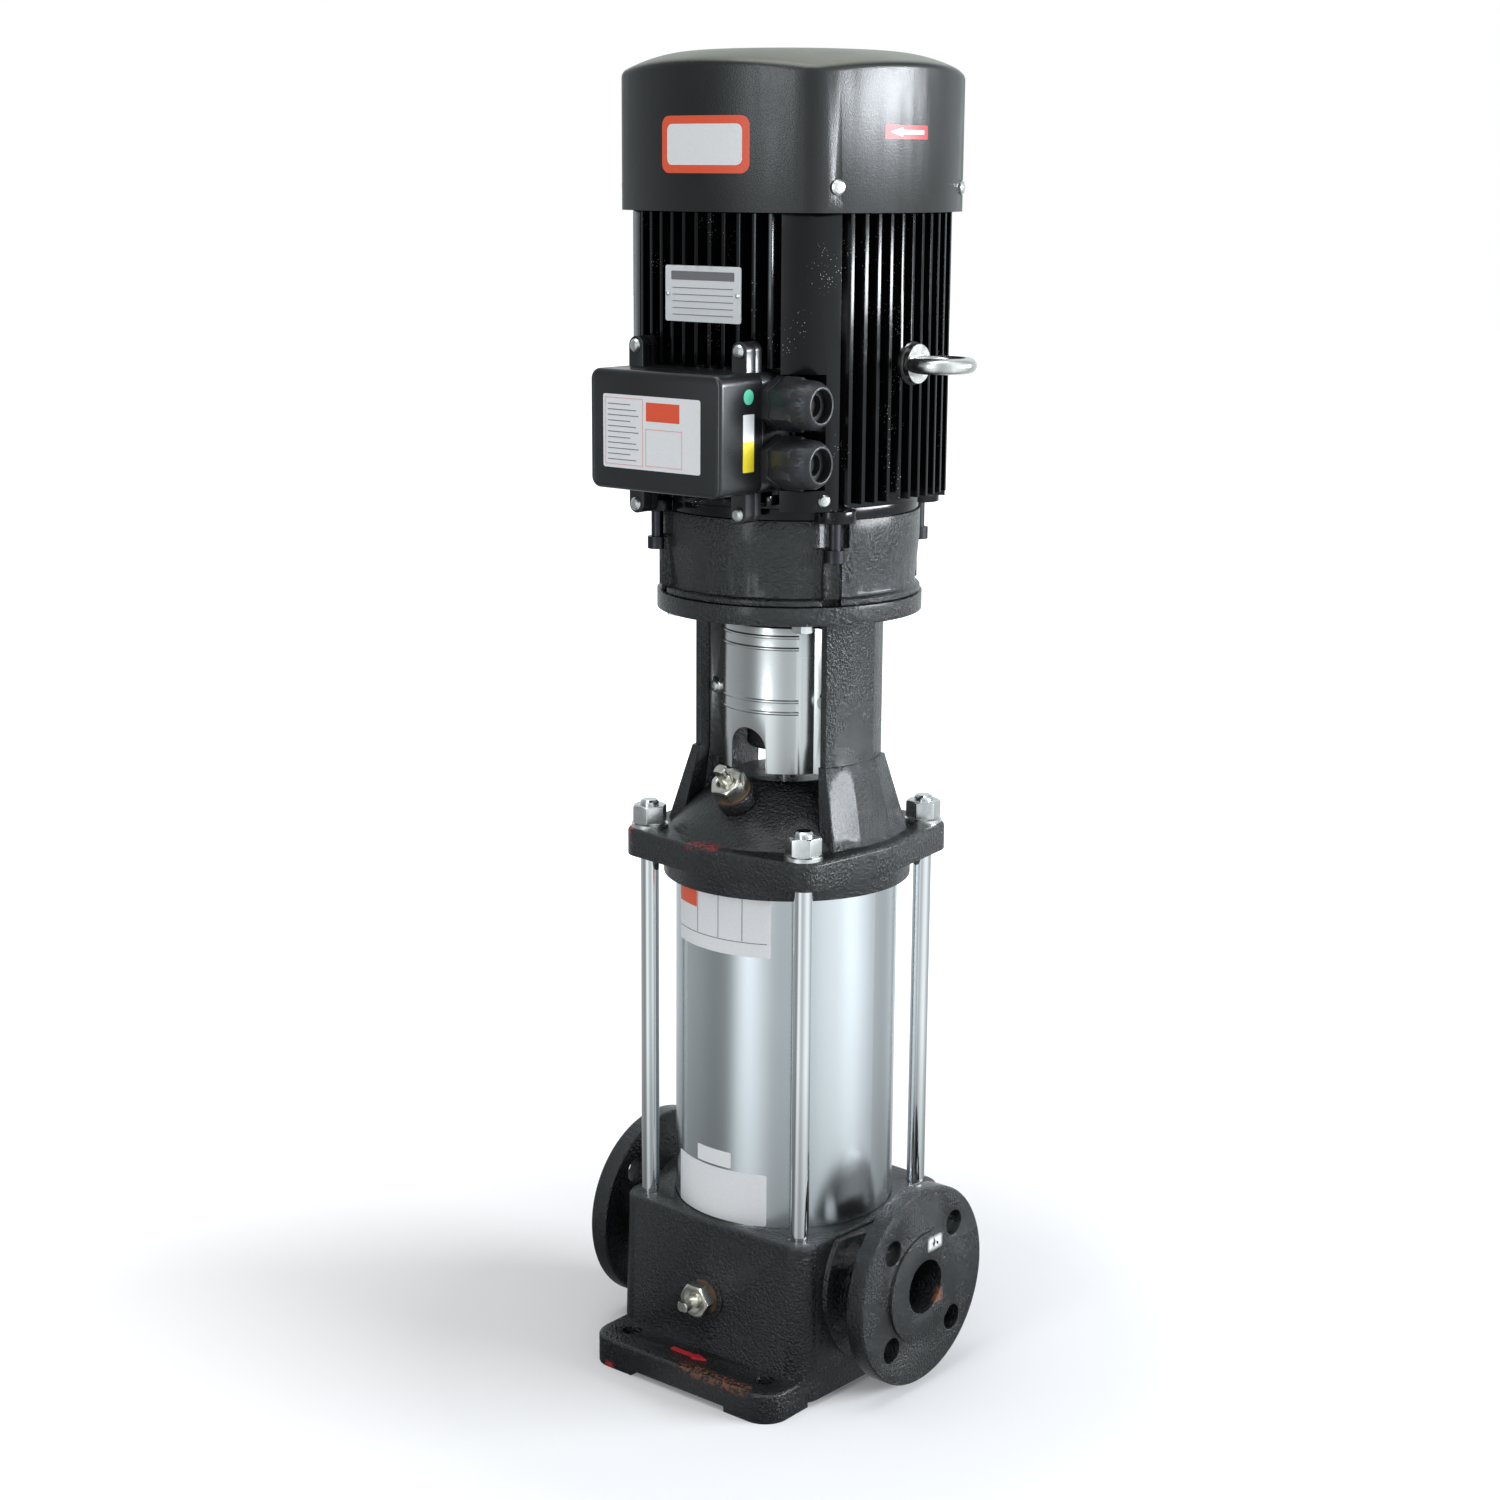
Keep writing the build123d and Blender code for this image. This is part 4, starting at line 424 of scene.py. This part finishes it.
finishes = {
    "base_casting": baseCasting, "pump_head": headCasting,
    "motor_adapter": casting, "coupling_halves": casting,
    "outer_sleeve": sleeveSteel, "coupling_guard_front": guardSteel, "coupling_guard_rear": guardSteel,
    "tie_rods": rodChrome, "tie_rod_washers": brightZinc, "tie_rod_nuts": brightZinc,
    "guard_screws": brightZinc, "lantern_bolts": brightZinc, "motor_bolts": blackBolt,
    "fan_cover_screws": brightZinc, "terminal_lid_screws": brightZinc, "earth_screw": brightZinc,
    "coupling_screws": brightZinc, "eyebolt": eyeZinc, "plug_bodies": nickelBrass,
    "vent_stem": nickelBrass, "drain_stem": nickelBrass, "plug_gaskets": fibreGasket,
    "motor_frame": motorPaint, "drive_end_shield": motorPaint, "fan_end_shield": motorPaint,
    "fan_cover": coverPaint, "terminal_box_base": boxPaint, "terminal_box_lid": boxPaint,
    "terminal_block": blockResin, "cable_gland_bodies": glandPlastic, "cable_gland_nuts": glandPlastic,
    "cable_gland_seals": blackRubber, "sleeve_o_rings": blackRubber, "nameplate": plateSilver,
    "stator_core": sheetCore, "rotor_core": sheetCore, "stator_windings": copperWire,
    "cooling_fan": fanPlastic, "seal_seat": sealCarbon, "seal_rotating_head": sealCarbon,
    "bottom_bush": sealCarbon, "pump_shaft": groundSteel, "motor_shaft": groundSteel,
    "bearing_outer_rings": groundSteel, "bearing_inner_rings": groundSteel,
    "impeller_spacers": pressedSteel, "suction_guide": pressedSteel, "discharge_guide": pressedSteel,
}
for name, node in nodes.items():
    finish = finishes.get(name, pressedSteel)
    node.data.materials.clear()
    node.data.materials.append(finish)
print("stage: materials on", len(nodes), "nodes")


# dressed copies: the visible edges of a sheet, casting or forging are rounded
def dressNode(nodeName, width, angle=30, segments=2, smooth=40):
    source = nodes[nodeName]
    deselectAll()
    piece = bpy.data.objects.new(nodeName + "_dressed", source.data.copy())
    bpy.context.scene.collection.objects.link(piece)
    activate(piece)
    bpy.ops.object.mode_set(mode="EDIT")
    bpy.ops.mesh.select_all(action="SELECT")
    bpy.ops.mesh.remove_doubles(threshold=0.02 * mm)
    bpy.ops.mesh.dissolve_limited(angle_limit=radians(0.6))
    bpy.ops.object.mode_set(mode="OBJECT")
    applyModifier(piece, "BEVEL", width=width, segments=segments, limit_method="ANGLE",
                  angle_limit=radians(angle), use_clamp_overlap=True, miter_outer="MITER_ARC",
                  harden_normals=False)
    smoothByAngle(piece, smooth)
    keep(piece, nodeName + "_dressed", source["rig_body"], finishes.get(nodeName, pressedSteel))
    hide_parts(nodeName)
    print("dressed", nodeName, len(piece.data.polygons))
    return piece


edgeWidths = {
    "base_casting": 1.2 * mm, "pump_head": 1.0 * mm, "motor_adapter": 0.8 * mm, "motor_frame": 0.5 * mm,
    "fan_cover": 0.5 * mm, "terminal_box_lid": 0.7 * mm, "terminal_box_base": 0.5 * mm,
    "coupling_guard_front": 0.25 * mm, "coupling_guard_rear": 0.25 * mm, "cable_gland_nuts": 0.5 * mm,
    "tie_rod_nuts": 0.3 * mm, "plug_bodies": 0.3 * mm, "drive_end_shield": 0.5 * mm,
}
for name, width in edgeWidths.items():
    dressNode(name, width)
print("stage: edges rounded")

# labels: thin printed sheets laid on the parts, all without lettering
paper = 0.12 * mm
pumpBody = nodes["fan_cover"]["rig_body"]


def startSheet(center, width, tall, facing):
    # a flat sheet in front of the side it will be laid on
    deselectAll()
    turn = radians(90) if facing == "outlet" else 0
    bpy.ops.mesh.primitive_plane_add(size=1, location=center, rotation=(radians(90), 0, turn))
    sheet = bpy.context.object
    bpy.ops.object.mode_set(mode="EDIT")
    bpy.ops.mesh.select_all(action="SELECT")
    size = (1, width, tall) if facing == "outlet" else (width, 1, tall)
    bpy.ops.transform.resize(value=size, center_override=center)
    bpy.ops.object.mode_set(mode="OBJECT")
    return applyPlace(sheet)


def roundCorners(sheet, radius, segments=5):
    activate(sheet)
    bpy.ops.object.mode_set(mode="EDIT")
    bpy.ops.mesh.select_all(action="SELECT")
    bpy.ops.mesh.bevel(offset=radius, segments=segments, affect="VERTICES")
    bpy.ops.object.mode_set(mode="OBJECT")
    return sheet


def cutStrips(sheet, facing, step):
    # upright cuts let the sheet bend round the part
    across = 1 if facing == "outlet" else 0
    spots = [vertex.co[across] for vertex in sheet.data.vertices]
    low, high = min(spots), max(spots)
    count = int((high - low) / step)
    activate(sheet)
    bpy.ops.object.mode_set(mode="EDIT")
    for number in range(1, count + 1):
        spot = [0, 0, 0]
        direction = [0, 0, 0]
        spot[across] = low + (high - low) * number / (count + 1)
        direction[across] = 1
        bpy.ops.mesh.select_all(action="SELECT")
        bpy.ops.mesh.bisect(plane_co=spot, plane_no=direction)
    bpy.ops.object.mode_set(mode="OBJECT")
    return sheet


def laySheet(sheet, name, facing, material, onto=None, layer=0, step=2.5 * mm):
    # projected on the part, then given the thickness of paper
    if onto:
        cutStrips(sheet, facing, step)
        settings = {"use_project_x": True, "use_project_y": False, "use_negative_direction": True,
                    "use_positive_direction": False}
        if facing == "front":
            settings = {"use_project_x": False, "use_project_y": True, "use_negative_direction": False,
                        "use_positive_direction": True}
        applyModifier(sheet, "SHRINKWRAP", target=onto, wrap_method="PROJECT", use_project_z=False,
                      wrap_mode="ABOVE_SURFACE", offset=(0.03 * mm + layer * paper), **settings)
    applyModifier(sheet, "SOLIDIFY", thickness=paper, offset=1)
    fixNormals(sheet)
    smoothByAngle(sheet, 30)
    return keep(sheet, name, pumpBody, material)


def label(name, corners, depth, facing, material, radius=1.2 * mm, onto=None, layer=0):
    # corners are the low and high ends along the side and upwards, in millimetres
    (left, low), (right, high) = corners
    middle = ((left + right) / 2 * mm, (low + high) / 2 * mm)
    center = (depth * mm, middle[0], middle[1]) if facing == "outlet" else (middle[0], depth * mm, middle[1])
    sheet = startSheet(center, (right - left) * mm, (high - low) * mm, facing)
    if radius:
        roundCorners(sheet, radius)
    return laySheet(sheet, name, facing, material, onto, layer)


arrowShares = {"shaft": 0.66, "head": 0.34, "tip": 0.02}


def arrowSheet(center, length, shaft, head, facing, shares=arrowShares):
    # an arrow that points to the left of the side: a strip, then a wider edge drawn to a point
    sheet = startSheet(center, length * shares["shaft"], shaft, facing)
    across = 1 if facing == "outlet" else 0
    toLeft = -1
    near = 0.01 * mm
    move = [0, 0, 0]
    move[across] = length * shares["head"] / 2
    activate(sheet)
    bpy.ops.object.mode_set(mode="EDIT")
    bpy.ops.mesh.select_all(action="SELECT")
    bpy.ops.transform.translate(value=move)
    bpy.ops.mesh.select_mode(type="EDGE")
    end = center[across] - length * (shares["shaft"] - shares["head"]) / 2
    pickOnly(sheet, lambda edge: all(abs(vertex.co[across] - end) < near for vertex in edge.verts), "edges")
    tip = [0, 0, 0]
    tip[across] = toLeft * 0.05 * mm
    bpy.ops.mesh.extrude_region_move(TRANSFORM_OT_translate={"value": tip})
    pivot = list(center)
    pivot[across] = end
    wide = [1, 1, head / shaft]
    bpy.ops.transform.resize(value=wide, center_override=pivot)
    tip[across] = toLeft * length * shares["head"]
    bpy.ops.mesh.extrude_region_move(TRANSFORM_OT_translate={"value": tip})
    bpy.ops.transform.resize(value=(1, 1, shares["tip"]), center_override=pivot)
    bpy.ops.mesh.select_mode(type="VERT")
    bpy.ops.object.mode_set(mode="OBJECT")
    return sheet


# how far out each sheet starts before it is laid on its part, in millimetres
starts = {"sleeve": -90, "coverFront": -115, "coverSide": 115, "lidSide": 54.5}
sleeve = nodes["outer_sleeve"]
cover = bpy.data.objects["fan_cover_dressed"]
label("sleeve_label_upper", ((-40.7, 308.5), (39.2, 350.0)), starts["sleeve"], "front", labelWhite,
      1.0 * mm, sleeve)
label("sleeve_label_corner", ((-40.0, 336.0), (-18.2, 349.5)), starts["sleeve"], "front", labelOrange, 0,
      sleeve, 1)
for number, x in enumerate((-17.5, 2.0, 20.5)):
    label(f"sleeve_label_rule_{number}", ((x, 319.0), (x + 0.5, 349.0)), starts["sleeve"], "front",
          labelGrey, 0, sleeve, 1)
label("sleeve_label_rule_low", ((-39.0, 318.0), (37.0, 318.5)), starts["sleeve"], "front", labelGrey, 0,
      sleeve, 1)
label("sleeve_label_lower", ((-40.9, 117.0), (37.8, 154.0)), starts["sleeve"], "front", labelWhite,
      1.5 * mm, sleeve)
label("sleeve_label_small", ((-16.8, 155.6), (13.3, 166.8)), starts["sleeve"], "front", labelWhite,
      0.8 * mm, sleeve)

label("cover_label", ((-27.0, 821.0), (41.5, 856.0)), starts["coverFront"], "front", labelOrange, 6 * mm,
      cover)
label("cover_label_field", ((-22.0, 826.0), (36.5, 851.0)), starts["coverFront"], "front", labelWhite,
      4 * mm, cover, 1)
label("turning_label", ((-33.0, 842.5), (7.5, 851.0)), starts["coverSide"], "outlet", labelRed, 0.5 * mm,
      cover)
arrowCenter = (starts["coverSide"] * mm, -12.5 * mm, 846.8 * mm)
arrow = arrowSheet(arrowCenter, 32 * mm, 2.6 * mm, 6.0 * mm, "outlet")
laySheet(arrow, "turning_arrow", "outlet", labelWhite, cover, 1)
print("stage: labels on the sleeve and the cover")

# the box lid is a paper's thickness lower behind its label
lid = bpy.data.objects["terminal_box_lid_dressed"]
lidFront = min(vertex.co.y for vertex in lid.data.vertices)
activate(lid)
bpy.ops.object.mode_set(mode="EDIT")
pickOnly(lid, lambda face: all(vertex.co.y < lidFront + 0.02 * mm for vertex in face.verts))
lidStep = 2.5 * paper
airGap = 0.02
bpy.ops.transform.translate(value=(0, lidStep, 0))
bpy.ops.object.mode_set(mode="OBJECT")
labelFace = (lidFront + lidStep) / mm - airGap
rowFace = labelFace - paper / mm
label("box_label", ((-43.0, 638.0), (38.0, 684.4)), labelFace, "front", labelWhite, 1.6 * mm)
label("box_label_block", ((-6.7, 668.8), (21.0, 680.6)), rowFace, "front", labelOrange, 0)


def frameLines(name, left, low, right, high, thick=0.45):
    # a printed frame is four rules
    sides = (((left, low), (right, low + thick)), ((left, high - thick), (right, high)),
             ((left, low), (left + thick, high)), ((right - thick, low), (right, high)))
    for number, corners in enumerate(sides):
        label(f"{name}_{number}", corners, rowFace, "front", labelPink, 0)


frameLines("box_frame_left", -41.3, 640.0, -9.3, 682.4)
frameLines("box_frame_right", -7.2, 640.5, 23.2, 664.0)
for number in range(11):
    level = 643.0 + number * 3.5
    reach = (-15.0, -20.0, -13.0)[number % 3]
    label(f"box_rule_{number}", ((-39.0, level), (reach, level + 0.55)), rowFace, "front", labelGrey, 0)

label("lid_dot", ((-116.4, 680.9), (-106.8, 690.5)), starts["lidSide"], "outlet", labelGreen, 4.7 * mm)
label("lid_sticker_white", ((-116.8, 658.0), (-106.0, 675.0)), starts["lidSide"], "outlet", labelWhite,
      0.5 * mm)
label("lid_sticker_yellow", ((-116.8, 639.0), (-106.0, 658.0)), starts["lidSide"], "outlet", labelYellow,
      0.5 * mm)

# nameplate: printed rules and two drive rivets
plateFace = min(vertex.co.y for vertex in nodes["nameplate"].data.vertices) / mm
label("plate_band", ((-22.0, 755.0), (30.0, 760.5)), plateFace - airGap, "front", labelGrey, 0.4 * mm)
for number in range(5):
    level = 733.0 + number * 4.2
    label(f"plate_rule_{number}", ((-21.0, level), (29.0, level + 0.5)), plateFace - airGap, "front",
          labelGrey, 0)
rivets = {"across": (-24.6, 32.6), "up": 746.2, "radius": 1.5, "height": 1.0, "rim": 0.5, "dome": 0.45}
for number, x in enumerate(rivets["across"]):
    deselectAll()
    bpy.ops.mesh.primitive_cylinder_add(vertices=24, radius=rivets["radius"] * mm,
                                        depth=rivets["height"] * mm, rotation=(radians(90), 0, 0),
                                        location=(x * mm, (plateFace - 0.4) * mm, rivets["up"] * mm))
    rivet = applyPlace(bpy.context.object)
    bpy.ops.object.mode_set(mode="EDIT")
    pickOnly(rivet, lambda face: face.normal.y < -0.9)
    bpy.ops.mesh.inset(thickness=rivets["rim"] * mm)
    bpy.ops.transform.translate(value=(0, -rivets["dome"] * mm, 0))
    bpy.ops.object.mode_set(mode="OBJECT")
    fixNormals(rivet)
    smoothByAngle(rivet, 50)
    keep(rivet, f"plate_rivet_{number}", pumpBody, brightZinc)

# cast arrow on the foot, painted red: it points from the inlet to the outlet
footArrow = {
    "center": (-3.5 * mm, -99.3 * mm, 21.3 * mm), "length": 31, "shaft": 3.4, "head": 8.0, "thick": 1.6,
}
castArrow = arrowSheet(footArrow["center"], footArrow["length"] * mm, footArrow["shaft"] * mm,
                       footArrow["head"] * mm, "front")
activate(castArrow)
bpy.ops.object.mode_set(mode="EDIT")
bpy.ops.mesh.select_all(action="SELECT")
for axis, turn in (("X", 90), ("Z", 180)):
    bpy.ops.transform.rotate(value=radians(turn), orient_axis=axis, center_override=footArrow["center"])
bpy.ops.object.mode_set(mode="OBJECT")
applyModifier(castArrow, "SOLIDIFY", thickness=footArrow["thick"] * mm, offset=0)
applyModifier(castArrow, "BEVEL", width=0.5 * mm, segments=2, limit_method="ANGLE", angle_limit=radians(40))
fixNormals(castArrow)
smoothByAngle(castArrow, 45)
keep(castArrow, "foot_arrow", pumpBody, paintRed)
print("stage: labels and marks on the box, plate and foot")

# camera at the photo's viewing angle
shot = {"eye": (1.0670, -1.3499, 0.8205), "aim": (-0.02015, -0.01643, 0.43462), "lens": 61.6, "roll": 0.36}
cameraData = bpy.data.cameras.new("photoCamera")
camera = bpy.data.objects.new("photoCamera", cameraData)
bpy.context.scene.collection.objects.link(camera)
camera.location = shot["eye"]
camera.rotation_mode = "QUATERNION"
line = Vector(shot["aim"]) - Vector(shot["eye"])
camera.rotation_quaternion = line.to_track_quat("-Z", "Y") @ Quaternion((0, 0, 1), radians(shot["roll"]))
cameraData.lens = shot["lens"]
cameraData.sensor_width = 36
cameraData.clip_end = 50
bpy.context.scene.camera = camera

# floor, backdrop and plain soft light
stage = {
    "floorSize": 24.0, "plain": 0.40,
    "glow": 0.10, "near": 0.25, "far": 1.2,
    # the mirrored floor's painted shadow: its darkest level, and from where to where it fades
    "shade": 0.30, "shadeNear": 0.15, "shadeFar": 0.75,
    "floorTint": (0.90, 0.97, 1.0), "wallTint": (0.88, 0.97, 1.0),
}
# brightness of the studio walls by heading, counted from the pump towards +X and then +Y
walls = (
    (-180, 0.50), (-150, 0.42), (-122, 0.34), (-104, 0.75), (-88, 1.20), (-72, 0.95), (-55, 0.70),
    (-30, 0.95), (5, 1.25), (35, 0.85), (65, 0.60), (100, 0.95), (140, 0.75), (180, 0.50),
)


def studioWalls(tree, vector):
    # a studio has bright and dark walls, which only mirror-like surfaces show
    split = tree.nodes.new("ShaderNodeSeparateXYZ")
    tree.links.new(vector, split.inputs[0])
    turn = calculate(tree, "ARCTAN2", split.outputs[1], split.outputs[0])
    share = remap(tree, turn, -pi, pi, 0, 1)
    curve = tree.nodes.new("ShaderNodeFloatCurve")
    points = curve.mapping.curves[0].points
    curve.mapping.use_clip = False
    for heading, level in walls[1:-1]:
        points.new((heading + 180) / 360, level / 2)
    points[0].location = (0, walls[0][1] / 2)
    points[-1].location = (1, walls[-1][1] / 2)
    curve.mapping.update()
    tree.links.new(share, curve.inputs["Value"])
    return calculate(tree, "MULTIPLY", curve.outputs[0], 2.0)


bpy.ops.mesh.primitive_plane_add(size=stage["floorSize"], location=(0, 0, 0))
floor = bpy.context.object
floor.name = "floor"


def floorMaterial():
    # white paper: lit by the lamps, lifted to white for the camera, with the object's shadow kept; as
    # mirror-like surfaces see it, a painted shadow darkens it near the object
    material, tree, shader, place = startMaterial("studioFloor")
    shader.inputs["Base Color"].default_value = (0.85, 0.85, 0.86, 1)
    shader.inputs["Roughness"].default_value = 0.9
    shader.inputs["Specular IOR Level"].default_value = 0.0
    rays = tree.nodes.new("ShaderNodeLightPath")
    length = tree.nodes.new("ShaderNodeVectorMath")
    length.operation = "LENGTH"
    tree.links.new(place, length.inputs[0])
    lift = remap(tree, length.outputs["Value"], stage["near"], stage["far"], stage["glow"], 1.0)
    glow = tree.nodes.new("ShaderNodeEmission")
    tree.links.new(calculate(tree, "MULTIPLY", lift, rays.outputs["Is Camera Ray"]), glow.inputs["Strength"])
    both = tree.nodes.new("ShaderNodeAddShader")
    tree.links.new(shader.outputs[0], both.inputs[0])
    tree.links.new(glow.outputs[0], both.inputs[1])
    mirrored = tree.nodes.new("ShaderNodeEmission")
    mirrored.inputs["Color"].default_value = (*stage["floorTint"], 1)
    # as mirror-like surfaces see it, the floor gets a painted shadow: darker towards the pump
    shade = remap(tree, length.outputs["Value"], stage["shadeNear"], stage["shadeFar"], stage["shade"], 1.0)
    tree.links.new(calculate(tree, "MULTIPLY", studioWalls(tree, place), shade), mirrored.inputs["Strength"])
    pick = tree.nodes.new("ShaderNodeMixShader")
    seen = calculate(tree, "MAXIMUM", rays.outputs["Is Glossy Ray"], rays.outputs["Is Transmission Ray"])
    tree.links.new(seen, pick.inputs[0])
    tree.links.new(both.outputs[0], pick.inputs[1])
    tree.links.new(mirrored.outputs[0], pick.inputs[2])
    tree.links.new(pick.outputs[0], tree.nodes["Material Output"].inputs["Surface"])
    return material


floor.data.materials.append(floorMaterial())

world = bpy.data.worlds.new("studio")
bpy.context.scene.world = world
world.use_nodes = True
sky = world.node_tree
sky.nodes.clear()
rays = sky.nodes.new("ShaderNodeLightPath")
heading = sky.nodes.new("ShaderNodeTexCoord")
plain = sky.nodes.new("ShaderNodeBackground")
plain.inputs["Color"].default_value = (1, 1, 1, 1)
plain.inputs["Strength"].default_value = stage["plain"]
mirrored = sky.nodes.new("ShaderNodeBackground")
mirrored.inputs["Color"].default_value = (*stage["wallTint"], 1)
sky.links.new(studioWalls(sky, heading.outputs["Generated"]), mirrored.inputs["Strength"])
white = sky.nodes.new("ShaderNodeBackground")
white.inputs["Color"].default_value = (1, 1, 1, 1)
white.inputs["Strength"].default_value = 1.0
glossy = calculate(sky, "MAXIMUM", rays.outputs["Is Glossy Ray"], rays.outputs["Is Transmission Ray"])
first = sky.nodes.new("ShaderNodeMixShader")
second = sky.nodes.new("ShaderNodeMixShader")
end = sky.nodes.new("ShaderNodeOutputWorld")
sky.links.new(glossy, first.inputs[0])
sky.links.new(plain.outputs[0], first.inputs[1])
sky.links.new(mirrored.outputs[0], first.inputs[2])
sky.links.new(rays.outputs["Is Camera Ray"], second.inputs[0])
sky.links.new(first.outputs[0], second.inputs[1])
sky.links.new(white.outputs[0], second.inputs[2])
sky.links.new(second.outputs[0], end.inputs["Surface"])


lamps = {
    "frontWindow": {"place": (0.05, -2.7, 1.2), "aim": (0, 0, 0.5), "width": 0.5, "height": 2.0,
                    "power": 17, "color": (0.88, 0.96, 1.0)},
    "rightWall": {"place": (2.55, 1.35, 1.03), "aim": (0, 0, 1.03), "width": 1.9, "height": 0.42,
                  "power": 120, "color": (0.90, 0.95, 1.0)},
    "top": {"place": (-0.2, -0.4, 2.8), "aim": (0, 0, 0.4), "width": 1.6, "height": 1.6,
            "power": 20, "color": (1, 1, 1)},
}


def softbox(name, place, aim, width, height, power, color):
    data = bpy.data.lights.new(name, "AREA")
    data.shape = "RECTANGLE"
    data.size = width
    data.size_y = height
    data.energy = power
    data.color = color
    lamp = bpy.data.objects.new(name, data)
    bpy.context.scene.collection.objects.link(lamp)
    lamp.location = place
    lamp.rotation_mode = "QUATERNION"
    lamp.rotation_quaternion = (Vector(aim) - Vector(place)).to_track_quat("-Z", "Y")
    return lamp


for name, values in lamps.items():
    softbox(name, **values)

bpy.context.scene.view_settings.view_transform = "Standard"
print("stage: camera and light set")
